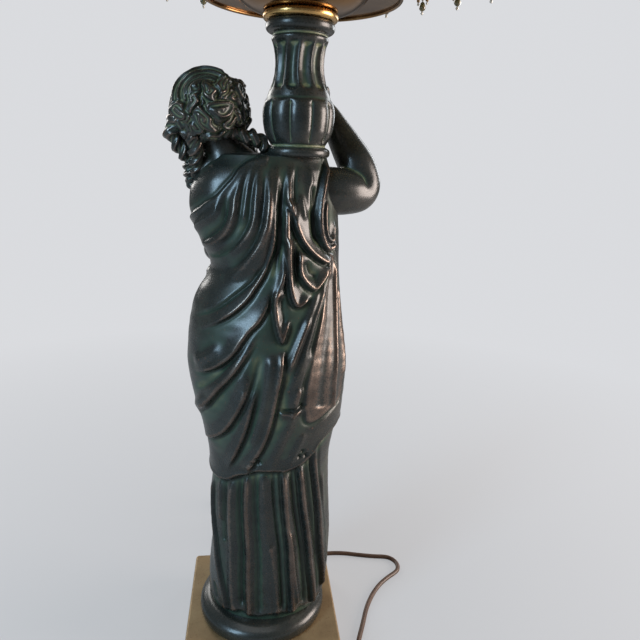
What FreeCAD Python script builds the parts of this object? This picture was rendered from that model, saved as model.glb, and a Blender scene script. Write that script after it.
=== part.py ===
"""Figural table lamp: a draped figure steadies an urn on one shoulder, and the urn carries the light.

Millimetres. +Z is up, the figure faces -Y, and the origin is the middle of the underside.
"""

import FreeCAD
import Part
import math
import os
from FreeCAD import Vector

os.makedirs("parts", exist_ok=True)

# ---- driving dimensions -------------------------------------------------------------------------

# Foot: felt, square plinth, iron ballast
PLINTH_SIDE = 120.0
PLINTH_H = 24.0
PLINTH_WALL = 4.0
PLINTH_CORNER = 3.0
PLINTH_EDGE = 1.5
FELT_T = 2.0
FELT_INSET = 1.5
BALLAST_SIDE = 96.0
BALLAST_T = 5.0

# The lamp's own upright axis, which runs through the urn on the figure's right shoulder
AXIS_X = -21.0
AXIS_Y = 6.0

# Figure: round socle, skirt casting, torso casting, limbs and head
SOCLE_R = 50.9
SOCLE_H = 14.0
SOCLE_FOOT_H = 3.0
SOCLE_TOP_R = 44.4
SOCLE_ROUND = 3.4
CAST_WALL = 3.0
SKIRT_H = 138.0
TORSO_H = 209.0
BODY_Y = 0.0
# Each level: its share of the casting's height, lowest x, highest x, depth along y
SKIRT_LEVELS = (
    (0.0, -50.0, 43.0, 78.0),
    (0.19, -53.5, 43.0, 76.0),
    (0.435, -54.0, 39.5, 74.0),
    (0.71, -51.5, 40.0, 73.0),
    (1.0, -51.0, 40.5, 75.0),
)
TORSO_LEVELS = (
    (0.0, -52.0, 42.0, 77.0),
    (0.096, -58.5, 46.0, 80.0),
    (0.215, -61.0, 52.0, 83.0),
    (0.311, -61.0, 54.5, 84.0),
    (0.440, -58.0, 52.0, 81.0),
    (0.545, -55.0, 47.5, 77.0),
    (0.641, -52.5, 38.5, 71.0),
    (0.727, -52.0, 43.5, 71.0),
    (0.823, -51.0, 50.0, 72.0),
    (0.909, -48.0, 48.5, 64.0),
    (0.967, -44.5, 44.0, 54.0),
    (1.0, -42.5, 41.0, 46.0),
)
# Limbs and head: x, y, height above the torso's top, and radius
RIGHT_ARM = ((-38.0, -3.0, -28.0, 13.5), (-66.5, -9.0, -25.0, 12.0), (-54.0, -19.0, 14.0, 8.8),
             (-37.0, -23.5, 41.0, 7.0), (-29.0, -22.5, 49.0, 7.5))
LEFT_FOREARM = ((39.0, -22.0, -68.0, 10.5), (16.0, -42.0, -61.0, 7.5), (7.0, -45.0, -57.0, 8.0))
SKULL = (37.5, -1.0, 28.0, 26.5)
CHIGNON = (33.0, 19.0, 21.0, 15.5)
NECK_R = 14.5
NECK_X = 27.0
NECK_SUNK = 4.0
PIPE_HOLE_DEPTH = 10.0

# Urn and the rings that stand on it
URN_H = 75.0
URN_FOOT_R = 21.0
URN_STEM_R = 17.6
URN_BULB_R = 23.1
URN_WAIST_R = 15.3
URN_LIP_R = 18.3
URN_WALL = 3.0
RING_R = 21.9
RING_H = 7.0
COLLAR_R = 24.0
COLLAR_H = 5.5
COLLAR_EDGE = 0.8
RING_ROUND = 2.5

# Brass dish under the lampholder
DISH_R = 62.5
DISH_BOWL_R = 42.0
DISH_DEPTH = 9.0
BRASS_T = 0.8
DISH_ROLL_R = 1.3

# Threaded pipe and what it clamps
PIPE_R = 4.8
PIPE_BORE_R = 3.6
PIPE_CLEARANCE = 0.3
PIPE_BELOW_NUT = 1.0
NUT_H = 4.8
NUT_ACROSS = 15.0
WASHER_R = 12.0
WASHER_T = 1.2
LOCKNUT_H = 4.0
LOCKNUT_R = 8.0

# Bulb
BULB_R = 30.0
BULB_H = 107.0
BULB_CAP_R = 13.0
BULB_CAP_H = 24.0
BULB_CAP_T = 0.5
BULB_TIP_H = 3.5
GLASS_T = 0.8
GLASS_SUNK = 6.0
STEM_H = 26.0
POST_R = 0.4
FILAMENT_R = 0.6
FILAMENT_HALF = 12.0

# Lampholder, which is as wide as the bulb's cap needs
SCREW_GAP = 0.9
SCREW_SHELL_T = 0.4
HOLDER_ROOM = 2.3
HOLDER_WALL = 0.6
HOLDER_CAP_H = 16.0
HOLDER_SHELL_H = 45.0
HOLDER_ENGAGED = 6.0
HOLDER_NECK_R = 8.0
HOLDER_NECK_H = 4.5
HOLDER_BEAD = 0.7
LINER_T = 0.5
FIT_GAP = 0.2
CORE_UP = 2.0
CORE_H = 17.0
CONTACT_R = 3.0
CONTACT_H = 2.2
TERMINAL_R = 1.8
TERMINAL_H = 1.6
TERMINAL_X = 8.0
SWITCH_UP = 22.0
SWITCH_SHAFT_R = 1.9
SWITCH_SEAT = 7.0
SWITCH_HOLE_ROOM = 1.1
KNOB_STANDOFF = 3.4
KNOB_SEAT = 6.0
KNOB_R = 6.5
KNOB_L = 11.0
KNOB_FLUTES = 12
FLUTE_R = 0.9
RUNNING_GAP = 0.1

# Harp, its saddle and sleeves, and the finial
HARP_WIRE_R = 1.6
HARP_H = 205.0
HARP_FOOT_X = 27.0
HARP_HALF_WIDTH = 56.0
HARP_FOOT_H = 36.0
HARP_WIDE_LOW = 98.0
HARP_WIDE_HIGH = 136.0
SADDLE_T = 1.5
SADDLE_W = 14.0
SADDLE_POST_H = 8.5
SADDLE_END = 4.5
SLEEVE_R = 3.4
SLEEVE_H = 14.0
CROWN_R = 9.0
CROWN_T = 2.0
STUD_R = 3.0
STUD_H = 14.0
FINIAL_R = 9.5
FINIAL_H = 34.0
FINIAL_TIP_R = 3.4
FINIAL_FOOT_R = 7.5
FINIAL_NECK_R = 4.7
FINIAL_EASE = 0.3

# Shade: frame, cover, braids and bead fringe
SHADE_BOTTOM_R = 172.0
SHADE_TOP_R = 80.0
SHADE_WAIST_R = 113.0
SHADE_H = 150.0
SHADE_WAIST_UP = 66.0
SHADE_COVER_T = 0.8
SHADE_RECESS = 9.0
SHADE_WIRE_R = 1.6
SHADE_RIBS = 8
RIB_R = 1.1
RIB_GAP = 0.3
HUB_R = 12.0
HUB_T = 1.5
SPIDER_ARMS = 3
ARM_BEND_R = 34.0
BRAID_H = 9.0
BRAID_BELOW = 4.0
BRAID_T = 1.6
TOP_BRAID_H = 7.2
TOP_BRAID_OUT = 2.0
FRINGE_H = 40.0
FRINGE_T = 1.5

# Cord, from its bushing in the plinth's rear wall to its plug
CORD_D = 4.0
CORD_EXIT_Z = 9.0
INNER_CORD_Z = 5.6
INNER_BEND = 19.0
BUSHING_R = 5.0
BUSHING_TIP_WALL = 1.15
CORD_GRIP_GAP = 0.05
BUSHING_OUT = 20.0
BUSHING_FLANGE_R = 6.5
BUSHING_FLANGE_T = 1.6
COIL_X = -8.0
COIL_Y = -108.0
COIL_R = 33.0
COIL_SIDE_GAP = 0.5
COIL_LAYER_GAP = 0.45
COIL_HALF_TURNS = 9
TIE_T = 0.6
TIE_W = 5.0
TIE_GAP = 0.15
PLUG_L = 34.0
PLUG_W = 24.0
PLUG_H = 17.0
BLADE_L = 16.0
BLADE_W = 6.3
BLADE_T = 1.5
BLADE_PITCH = 12.7

# ---- sizes and heights that follow --------------------------------------------------------------

SCREW_SHELL_R = BULB_CAP_R + SCREW_GAP + SCREW_SHELL_T
HOLDER_R = SCREW_SHELL_R + HOLDER_ROOM
LINER_R = HOLDER_R - HOLDER_WALL - FIT_GAP / 2
CORE_R = LINER_R - LINER_T - FIT_GAP / 2
KNOB_OUT = HOLDER_R + KNOB_STANDOFF
PLINTH_TOP = FELT_T + PLINTH_H
SOCLE_TOP = PLINTH_TOP + SOCLE_H
SEAM_Z = SOCLE_TOP + SKIRT_H
URN_Z = SEAM_Z + TORSO_H
RING_Z = URN_Z + URN_H
COLLAR_Z = RING_Z + RING_H
DISH_Z = COLLAR_Z + COLLAR_H
LOCKNUT_Z = DISH_Z + BRASS_T
SADDLE_Z = LOCKNUT_Z + LOCKNUT_H
HOLDER_Z = SADDLE_Z + SADDLE_T
CORE_Z = HOLDER_Z + HOLDER_CAP_H - HOLDER_ENGAGED + CORE_UP
CONTACT_Z = CORE_Z + CORE_H
BULB_Z = CONTACT_Z + CONTACT_H
SWITCH_Z = HOLDER_Z + SWITCH_UP
HARP_Z = HOLDER_Z + SADDLE_POST_H
CROWN_Z = HOLDER_Z + HARP_H
HUB_Z = CROWN_Z + CROWN_T + RUNNING_GAP
SHADE_TOP_Z = HUB_Z + SHADE_RECESS
SHADE_BOTTOM_Z = SHADE_TOP_Z - SHADE_H
BALLAST_Z = PLINTH_TOP - PLINTH_WALL - BALLAST_T
WASHER_Z = BALLAST_Z - WASHER_T
NUT_Z = WASHER_Z - NUT_H
PIPE_Z = NUT_Z - PIPE_BELOW_NUT
PIPE_TOP = HOLDER_Z + HOLDER_NECK_H
REAR_Y = PLINTH_SIDE / 2
CORD_R = CORD_D / 2
COIL_STEP = (CORD_D + COIL_SIDE_GAP) / 2
COIL_RISE = CORD_D + COIL_LAYER_GAP
COIL_Z = TIE_T + RUNNING_GAP + CORD_R
AXIS = Vector(AXIS_X, AXIS_Y, 0)
UP = Vector(0, 0, 1)

# The free cord's route on the table, chosen by hand, from the bushing's tip to the coil
FREE_ROUTE = (
    (AXIS_X, REAR_Y + BUSHING_OUT, CORD_EXIT_Z), (AXIS_X, REAR_Y + BUSHING_OUT + 11, CORD_EXIT_Z),
    (-23.5, 102, 5.4), (-33, 110.5, CORD_R), (-47, 111.5, CORD_R), (-59, 103, CORD_R),
    (-66.5, 89, CORD_R), (-70, 73, CORD_R), (-71.5, 56, CORD_R), (-75, 39, CORD_R),
    (-80.5, 23, CORD_R), (-86.5, 8, CORD_R), (-92.5, -9, CORD_R), (-101, -25, CORD_R),
    (-111, -38, CORD_R), (-121.5, -47, CORD_R), (-131.4, -53.8, CORD_R), (-134.4, -60.3, CORD_R),
    (-133.8, -67.4, CORD_R), (-129.7, -73.3, CORD_R), (-123.8, -76, CORD_R), (-113.5, -77, CORD_R),
    (-99, -80, CORD_R), (-82, -84.5, CORD_R), (-64, -85, CORD_R), (-46, -80.5, CORD_R),
    (-27, COIL_Y + COIL_R, COIL_Z), (COIL_X, COIL_Y + COIL_R, COIL_Z),
)
TAIL_Y = COIL_Y - COIL_R
PLUG_AT = Vector(-12, TAIL_Y - 31, PLUG_H / 2)
TAIL_ROUTE = (
    (COIL_X, TAIL_Y, COIL_Z + COIL_RISE), (-22, TAIL_Y, COIL_Z + COIL_RISE), (-29.3, TAIL_Y - 4.2, 6),
    (-33.5, TAIL_Y - 11.4, 4.4), (-33.5, TAIL_Y - 19.6, 4.4), (-29.3, TAIL_Y - 26.8, 6.2),
    (-22, PLUG_AT.y, PLUG_AT.z), (PLUG_AT.x, PLUG_AT.y, PLUG_AT.z),
)


# ---- shared shapes ------------------------------------------------------------------------------


def save(name, shape):
    """Writes one sub-part, and says so if its solid is not sound."""
    if not shape.isValid() or shape.Volume <= 0:
        print(name, "is not a sound solid")
    shape.exportStep("parts/" + name + ".step")


def turned(start, *steps, at=AXIS):
    """A turned solid. A step is a line to (radius, z), or an arc through its first pair of four numbers."""
    edges = []
    first = here = Vector(start[0], 0, start[1])
    for step in steps:
        there = Vector(step[-2], 0, step[-1])
        if len(step) == 4:
            edges.append(Part.Arc(here, Vector(step[0], 0, step[1]), there).toShape())
        else:
            edges.append(Part.LineSegment(here, there).toShape())
        here = there
    edges.append(Part.LineSegment(here, first).toShape())
    solid = Part.Face(Part.Wire(edges)).revolve(Vector(), UP, 360)
    solid.translate(at)
    return solid


def rod(radius, low, high, at=AXIS):
    """An upright round bar."""
    return Part.makeCylinder(radius, high - low, Vector(at.x, at.y, low))


def pipe(radius, bore, low, high, at=AXIS):
    """An upright tube."""
    return rod(radius, low, high, at).cut(rod(bore, low - 1, high + 1, at))


def slab(side, low, high, corner):
    """A square block with rounded upright corners, centred on the plinth."""
    block = Part.makeBox(side, side, high - low, Vector(-side / 2, -side / 2, low))
    upright = [e for e in block.Edges if abs(e.Vertexes[0].Z - e.Vertexes[-1].Z) > 0.9 * (high - low)]
    return block.makeFillet(corner, upright)


def straight(a, b, radius):
    """A round bar from one point to another."""
    return Part.makeCylinder(radius, (b - a).Length, a, b - a)


def arc_middle(start, heading, end):
    """The middle of the arc that leaves start along heading and ends at end."""
    chord = end - start
    half = heading.getAngle(chord) / 2
    lean = (Vector(heading).normalize() + Vector(chord).normalize()).normalize()
    return start + lean * (chord.Length / (2 * math.cos(half)))


def biarc(start, heading, end, final):
    """Two arcs that leave start along heading and reach end along final."""
    span = end - start
    both = span.dot(heading + final)
    spread = 1 - heading.dot(final)
    if spread < 1e-6:
        reach = span.dot(span) / (2 * both)
    else:
        reach = (math.sqrt(both * both + 2 * spread * span.dot(span)) - both) / (2 * spread)
    joint = (start + end + (heading - final) * reach) / 2
    first = Part.Arc(start, arc_middle(start, heading, joint), joint)
    second = Part.Arc(joint, arc_middle(end, -final, joint), end)
    return [first.toShape(), second.toShape()]


def swept(edges, radius, start, heading):
    """A round bar along joined edges."""
    ring = Part.Wire(Part.makeCircle(radius, start, heading))
    return Part.Wire(edges).makePipeShell([ring], True, False)


def rounded_route(points):
    """Straight runs joined by tangent arcs, and the arcs' radii."""
    points = [Vector(*p) for p in points]
    edges, radii, here = [], [], points[0]
    for before, corner, after in zip(points, points[1:], points[2:]):
        back, on = before - corner, after - corner
        cut = 0.45 * min(back.Length, on.Length)
        half_turn = (math.pi - back.getAngle(on)) / 2
        back.normalize()
        on.normalize()
        radius = cut / math.tan(half_turn)
        middle = corner + (back + on).normalize() * (radius / math.cos(half_turn) - radius)
        edges.append(Part.LineSegment(here, corner + back * cut).toShape())
        edges.append(Part.Arc(corner + back * cut, middle, corner + on * cut).toShape())
        radii.append(radius)
        here = corner + on * cut
    edges.append(Part.LineSegment(here, points[-1]).toShape())
    return edges, radii


def limb(joints):
    """Balls joined by cones, for an arm. Each joint is x, y, height above the torso's top and radius."""
    balls = [(Vector(x, y, URN_Z + z), r) for x, y, z, r in joints]
    shape = Part.makeSphere(balls[0][1], balls[0][0])
    for (a, r_a), (b, r_b) in zip(balls, balls[1:]):
        shape = shape.fuse(Part.makeSphere(r_b, b))
        if abs(r_a - r_b) < 0.01:
            shape = shape.fuse(straight(a, b, r_a))
        else:
            shape = shape.fuse(Part.makeCone(r_a, r_b, (b - a).Length, a, b - a))
    return shape


def casting(levels, base_z, height, inset, lift=0.0, drop=0.0):
    """A loft through oval levels, drawn in by inset, with its ends moved up by lift and down by drop."""
    rings = []
    for share, low, high, depth in levels:
        middle, half_x, half_y = (low + high) / 2, (high - low) / 2 - inset, depth / 2 - inset
        z = base_z + share * height + (lift if share == 1 else 0) - (drop if share == 0 else 0)
        curve = Part.BSplineCurve()
        angles = [2 * math.pi * k / 16 for k in range(16)]
        points = [Vector(middle + half_x * math.cos(a), BODY_Y + half_y * math.sin(a), z) for a in angles]
        curve.interpolate(Points=points, PeriodicFlag=True)
        rings.append(Part.Wire(curve.toShape()))
    return Part.makeLoft(rings, True, False)


# ---- foot ---------------------------------------------------------------------------------------


def felt_pad():
    return slab(PLINTH_SIDE - 2 * FELT_INSET, 0, FELT_T, PLINTH_CORNER)


def square_plinth():
    block = slab(PLINTH_SIDE, FELT_T, PLINTH_TOP, PLINTH_CORNER)
    top = [e for e in block.Edges if min(v.Z for v in e.Vertexes) > PLINTH_TOP - 0.01]
    block = block.makeFillet(PLINTH_EDGE, top)
    inner = PLINTH_SIDE - 2 * PLINTH_WALL
    block = block.cut(slab(inner, FELT_T - 1, PLINTH_TOP - PLINTH_WALL, PLINTH_CORNER))
    block = block.cut(rod(PIPE_R + PIPE_CLEARANCE, FELT_T, PLINTH_TOP + 1))
    mouth = Vector(AXIS_X, REAR_Y - PLINTH_WALL - 1, CORD_EXIT_Z)
    return block.cut(Part.makeCylinder(BUSHING_R + FIT_GAP / 2, PLINTH_WALL + 2, mouth, Vector(0, 1, 0)))


def ballast_plate():
    plate = slab(BALLAST_SIDE, BALLAST_Z, BALLAST_Z + BALLAST_T, PLINTH_CORNER)
    return plate.cut(rod(PIPE_R + PIPE_CLEARANCE, BALLAST_Z - 1, BALLAST_Z + BALLAST_T + 1))


def pipe_nut():
    points = [Vector(NUT_ACROSS / math.sqrt(3) * math.cos(math.pi / 3 * k),
                     NUT_ACROSS / math.sqrt(3) * math.sin(math.pi / 3 * k), NUT_Z) for k in range(7)]
    nut = Part.Face(Part.makePolygon(points)).extrude(UP * NUT_H)
    nut.translate(AXIS)
    return nut.cut(rod(PIPE_R, NUT_Z - 1, NUT_Z + NUT_H + 1))


def foot():
    save("felt_pad", felt_pad())
    save("square_plinth", square_plinth())
    save("ballast_plate", ballast_plate())
    save("pipe_nut", pipe_nut())
    save("pipe_washer", pipe(WASHER_R, PIPE_R + PIPE_CLEARANCE, WASHER_Z, BALLAST_Z))
    save("threaded_pipe", pipe(PIPE_R, PIPE_BORE_R, PIPE_Z, PIPE_TOP))


# ---- figure -------------------------------------------------------------------------------------


def figure_socle():
    low, high, wall = PLINTH_TOP, SOCLE_TOP, CAST_WALL
    foot_z = low + SOCLE_FOOT_H
    socle = turned(
        (0, high - wall), (SOCLE_R - 4 * wall, high - wall),
        (SOCLE_R - wall, foot_z + 1), (SOCLE_R - wall, low),
        (SOCLE_R, low), (SOCLE_R, foot_z),
        (SOCLE_R - (SOCLE_R - SOCLE_TOP_R) / 4, high - SOCLE_ROUND, SOCLE_TOP_R, high), (0, high),
        at=Vector(),
    )
    return socle.cut(rod(PIPE_R + PIPE_CLEARANCE, low, high + 1))


def figure_skirt():
    outside = casting(SKIRT_LEVELS, SOCLE_TOP, SKIRT_H, 0)
    return outside.cut(casting(SKIRT_LEVELS, SOCLE_TOP, SKIRT_H, CAST_WALL, lift=1, drop=1))


def figure_torso(outside):
    hollow = casting(TORSO_LEVELS, SEAM_Z, TORSO_H, CAST_WALL, lift=-CAST_WALL, drop=1)
    return outside.cut(hollow).cut(rod(PIPE_R + PIPE_CLEARANCE, URN_Z - PIPE_HOLE_DEPTH, URN_Z + 1))


def head(outside):
    skull = Vector(SKULL[0], SKULL[1], URN_Z + SKULL[2])
    foot_of_neck = Vector(NECK_X, BODY_Y, URN_Z - NECK_SUNK)
    shape = Part.makeSphere(SKULL[3], skull)
    shape = shape.fuse(Part.makeSphere(CHIGNON[3], Vector(CHIGNON[0], CHIGNON[1], URN_Z + CHIGNON[2])))
    return shape.fuse(straight(foot_of_neck, skull, NECK_R)).cut(outside)


def shoulder_urn():
    def level(share):
        return URN_Z + share * URN_H

    # Shares of the urn's height: foot ring, stem, widest, shoulder line, waist and lip
    foot_mid, foot_top, stem, swell, widest = 0.03, 0.06, 0.10, 0.21, 0.33
    turn_in, shoulder, neck, waist, flare, lip = 0.42, 0.48, 0.64, 0.72, 0.88, 0.96
    outer = (
        (URN_FOOT_R - 1, URN_Z), (URN_FOOT_R + 0.5, level(foot_mid), URN_FOOT_R - 1, level(foot_top)),
        (URN_STEM_R, level(stem)), (URN_BULB_R - 1, level(swell), URN_BULB_R, level(widest)),
        (URN_BULB_R - 0.4, level(turn_in), URN_BULB_R - 2.5, level(shoulder)),
        (URN_WAIST_R + 0.6, level(neck), URN_WAIST_R, level(waist)),
        (URN_WAIST_R + 0.9, level(flare), URN_LIP_R, level(lip)), (URN_LIP_R, level(1.0)),
    )
    bore = PIPE_R + PIPE_CLEARANCE
    solid = turned((bore, URN_Z), *outer, (bore, level(1.0)))
    hollow = turned(
        (bore - FIT_GAP, URN_Z + URN_WALL), (URN_STEM_R - URN_WALL, URN_Z + URN_WALL),
        (URN_BULB_R - URN_WALL, level(widest)), (URN_WAIST_R - URN_WALL, level(waist)),
        (URN_WAIST_R - URN_WALL, level(1.0) - URN_WALL), (bore - FIT_GAP, level(1.0) - URN_WALL),
    )
    return solid.cut(hollow)


def neck_ring():
    bore = PIPE_R + PIPE_CLEARANCE
    edge = RING_R - RING_ROUND
    middle = RING_Z + RING_H / 2
    return turned((bore, RING_Z), (edge, RING_Z), (RING_R, middle, edge, COLLAR_Z), (bore, COLLAR_Z))


def figure():
    outside = casting(TORSO_LEVELS, SEAM_Z, TORSO_H, 0)
    save("figure_socle", figure_socle())
    save("figure_skirt", figure_skirt())
    save("figure_torso", figure_torso(outside))
    save("head", head(outside))
    save("shoulder_urn", shoulder_urn())
    save("neck_ring", neck_ring())
    urn_body = rod(URN_BULB_R + FIT_GAP, URN_Z, RING_Z)
    save("raised_arm", limb(RIGHT_ARM).cut(outside).cut(urn_body))
    save("left_forearm", limb(LEFT_FOREARM).cut(outside))


# ---- brass collar and dish ----------------------------------------------------------------------


def brass_collar():
    bore = PIPE_R + PIPE_CLEARANCE
    edge = COLLAR_R - COLLAR_EDGE
    return turned((bore, COLLAR_Z), (edge, COLLAR_Z), (COLLAR_R, COLLAR_Z + COLLAR_EDGE),
                  (COLLAR_R, DISH_Z - COLLAR_EDGE), (edge, DISH_Z), (bore, DISH_Z))


def brass_dish():
    bore, rim = PIPE_R + PIPE_CLEARANCE, DISH_Z + DISH_DEPTH
    # The bowl's side sags outwards a little below its straight line
    bend_r, bend_z = (COLLAR_R + DISH_BOWL_R) / 2 + 1.5, DISH_Z + DISH_DEPTH / 3
    sheet = turned(
        (bore, DISH_Z), (COLLAR_R, DISH_Z), (bend_r, bend_z, DISH_BOWL_R, rim), (DISH_R, rim),
        (DISH_R, rim + BRASS_T), (DISH_BOWL_R - BRASS_T, rim + BRASS_T),
        (bend_r - BRASS_T, bend_z + BRASS_T, COLLAR_R, DISH_Z + BRASS_T), (bore, DISH_Z + BRASS_T),
    )
    roll = Part.makeTorus(DISH_R, DISH_ROLL_R, Vector(AXIS_X, AXIS_Y, rim + BRASS_T - DISH_ROLL_R))
    return sheet.fuse(roll)


def brasswork():
    save("brass_collar", brass_collar())
    save("brass_dish", brass_dish())
    save("dish_locknut", pipe(LOCKNUT_R, PIPE_R, LOCKNUT_Z, SADDLE_Z))


# ---- lampholder ---------------------------------------------------------------------------------


def socket_cap():
    top, neck = HOLDER_Z + HOLDER_CAP_H, HOLDER_Z + HOLDER_NECK_H
    inner = HOLDER_R + FIT_GAP / 2
    outer = inner + HOLDER_WALL
    return turned(
        (PIPE_R, HOLDER_Z), (HOLDER_NECK_R, HOLDER_Z), (HOLDER_NECK_R, neck),
        (outer - 1.2, neck + 1.4, outer, neck + 5.0), (outer, top), (inner, top),
        (inner, top - HOLDER_ENGAGED), (inner - 1.5, top - HOLDER_ENGAGED),
        (inner - 2.4, neck + 2.4, HOLDER_NECK_R - 1, neck + HOLDER_WALL), (PIPE_R, neck + HOLDER_WALL),
    )


def side_hole(radius, inner_y, outer_y):
    """The bar that a sideways hole for the switch removes, towards the figure's front."""
    start = Vector(AXIS_X, AXIS_Y - inner_y, SWITCH_Z)
    return Part.makeCylinder(radius, outer_y - inner_y, start, Vector(0, -1, 0))


def socket_shell():
    low = HOLDER_Z + HOLDER_CAP_H - HOLDER_ENGAGED + FIT_GAP / 2
    high = low + HOLDER_SHELL_H
    bead = HOLDER_R + HOLDER_BEAD
    shell = turned(
        (HOLDER_R - HOLDER_WALL, low), (HOLDER_R, low), (HOLDER_R, high - 3),
        (bead, high - 1.5, HOLDER_R, high), (HOLDER_R - HOLDER_WALL, high),
    )
    return shell.cut(side_hole(SWITCH_SHAFT_R + SWITCH_HOLE_ROOM, 0, HOLDER_R + 5))


def socket_inside():
    shell_top = HOLDER_Z + HOLDER_CAP_H - HOLDER_ENGAGED + HOLDER_SHELL_H
    liner = pipe(LINER_R, LINER_R - LINER_T, CORE_Z, shell_top - 1)
    save("socket_liner", liner.cut(side_hole(SWITCH_SHAFT_R + SWITCH_HOLE_ROOM, 0, HOLDER_R + 5)))
    core = rod(CORE_R, CORE_Z, CONTACT_Z)
    save("socket_core", core.cut(side_hole(SWITCH_SHAFT_R + RUNNING_GAP, CORE_R - SWITCH_SEAT, CORE_R + 1)))
    screws = [rod(TERMINAL_R, CORE_Z - TERMINAL_H, CORE_Z, Vector(AXIS_X + side * TERMINAL_X, AXIS_Y, 0))
              for side in (-1, 1)]
    save("terminal_screws", Part.makeCompound(screws))
    save("screw_shell", pipe(SCREW_SHELL_R, SCREW_SHELL_R - SCREW_SHELL_T, CONTACT_Z, shell_top - 2))
    save("centre_contact", rod(CONTACT_R, CONTACT_Z, BULB_Z - FIT_GAP))


def switch_parts():
    reach = KNOB_OUT + KNOB_L
    save("switch_shaft", side_hole(SWITCH_SHAFT_R, CORE_R - SWITCH_SEAT + FIT_GAP, KNOB_OUT + KNOB_SEAT))
    knob = side_hole(KNOB_R, KNOB_OUT, reach)
    knob = knob.makeFillet(1.0, [knob.Edges[0], knob.Edges[2]])
    for k in range(KNOB_FLUTES):
        angle = 2 * math.pi * k / KNOB_FLUTES
        groove = side_hole(FLUTE_R, KNOB_OUT - 1, reach + 1)
        groove.translate(Vector(KNOB_R * math.cos(angle), 0, KNOB_R * math.sin(angle)))
        knob = knob.cut(groove)
    save("switch_knob", knob.cut(side_hole(SWITCH_SHAFT_R, KNOB_OUT - 1, KNOB_OUT + KNOB_SEAT)))


def lampholder():
    save("socket_cap", socket_cap())
    save("socket_shell", socket_shell())
    socket_inside()
    switch_parts()


# ---- bulb ---------------------------------------------------------------------------------------


def glass_side(inset, cap_top, middle):
    """The envelope's outline from inside its cap to its crown, drawn in by inset."""
    r, neck = BULB_R - inset, BULB_CAP_R - 0.6 - inset
    shoulder_r, shoulder_z = r * math.cos(math.radians(30)), middle - r * math.sin(math.radians(30))
    bend_r, bend_z = (neck + shoulder_r) / 2 - 1.6, (cap_top + shoulder_z) / 2 + 2
    upper_r, upper_z = r * math.cos(math.radians(25)), middle + r * math.sin(math.radians(25))
    return ((neck, cap_top - GLASS_SUNK), (neck, cap_top + 2), (bend_r, bend_z, shoulder_r, shoulder_z),
            (upper_r, upper_z, 0, middle + r))


def bulb():
    cap_low = BULB_Z + BULB_TIP_H
    cap_top = cap_low + BULB_CAP_H
    middle = BULB_Z + BULB_H - BULB_R
    foot_r, tip_r = BULB_CAP_R - 2, CONTACT_R + 1
    tip = turned((0, BULB_Z), (tip_r, BULB_Z), (tip_r + 1, BULB_Z + 1), (foot_r, cap_low), (0, cap_low))
    save("bulb_tip", tip)
    inside = BULB_CAP_R - BULB_CAP_T
    cap = turned((0, cap_low), (foot_r, cap_low), (BULB_CAP_R, cap_low + 2), (BULB_CAP_R, cap_top),
                 (inside, cap_top), (inside, cap_low + 2), (0, cap_low + BULB_CAP_T))
    save("bulb_cap", cap)
    outer, inner = glass_side(0, cap_top, middle), glass_side(GLASS_T, cap_top, middle)
    low = cap_top - GLASS_SUNK
    hollow = turned((0, low - 1), (inner[0][0], low - 1), *inner[1:])
    save("bulb_glass", turned((0, low), *outer).cut(hollow))
    flare, stem_top, wire_z = inner[0][0] - FIT_GAP / 2, cap_top + STEM_H, middle - 2
    stem = turned((0, low + 1), (flare, low + 1), (4, cap_top), (2, stem_top), (0, stem_top))
    posts = [straight(Vector(AXIS_X + side, AXIS_Y, stem_top - GLASS_SUNK),
                      Vector(AXIS_X + FILAMENT_HALF * side, AXIS_Y, wire_z), POST_R) for side in (-1, 1)]
    filament = straight(Vector(AXIS_X - FILAMENT_HALF, AXIS_Y, wire_z),
                        Vector(AXIS_X + FILAMENT_HALF, AXIS_Y, wire_z), FILAMENT_R)
    save("bulb_stem", stem.fuse(posts + [filament]))


# ---- harp and finial ----------------------------------------------------------------------------


def harp_saddle():
    half = HARP_FOOT_X + SADDLE_END
    corner = Vector(AXIS_X - half, AXIS_Y - SADDLE_W / 2, SADDLE_Z)
    strip = Part.makeBox(2 * half, SADDLE_W, SADDLE_T, corner)
    strip = strip.cut(rod(PIPE_R + PIPE_CLEARANCE, SADDLE_Z - 1, HOLDER_Z + 1))
    posts = [rod(HARP_WIRE_R, HOLDER_Z, HARP_Z, Vector(AXIS_X + side * HARP_FOOT_X, AXIS_Y, 0))
             for side in (-1, 1)]
    return strip.fuse(posts)


def harp():
    def at(across, up):
        return Vector(AXIS_X + across, AXIS_Y, HOLDER_Z + up)

    wire_top = HARP_H - HARP_WIRE_R
    foot, bend = at(HARP_FOOT_X, SADDLE_POST_H), at(HARP_FOOT_X, HARP_FOOT_H)
    wide_low, wide_high = at(HARP_HALF_WIDTH, HARP_WIDE_LOW), at(HARP_HALF_WIDTH, HARP_WIDE_HIGH)
    crown = at(0, wire_top)
    right = [Part.LineSegment(foot, bend).toShape()] + biarc(bend, UP, wide_low, UP)
    right += [Part.LineSegment(wide_low, wide_high).toShape()]
    right += biarc(wide_high, UP, crown, Vector(-1, 0, 0))
    half = swept(right, HARP_WIRE_R, foot, UP)
    other = half.mirror(AXIS, Vector(1, 0, 0))
    plate = rod(CROWN_R, CROWN_Z, CROWN_Z + CROWN_T)
    stud = rod(STUD_R, CROWN_Z, HUB_Z + HUB_T + STUD_H)
    return half.fuse([other, plate, stud, rod(HARP_WIRE_R * 2, CROWN_Z - 2 * HARP_WIRE_R, CROWN_Z)])


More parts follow.
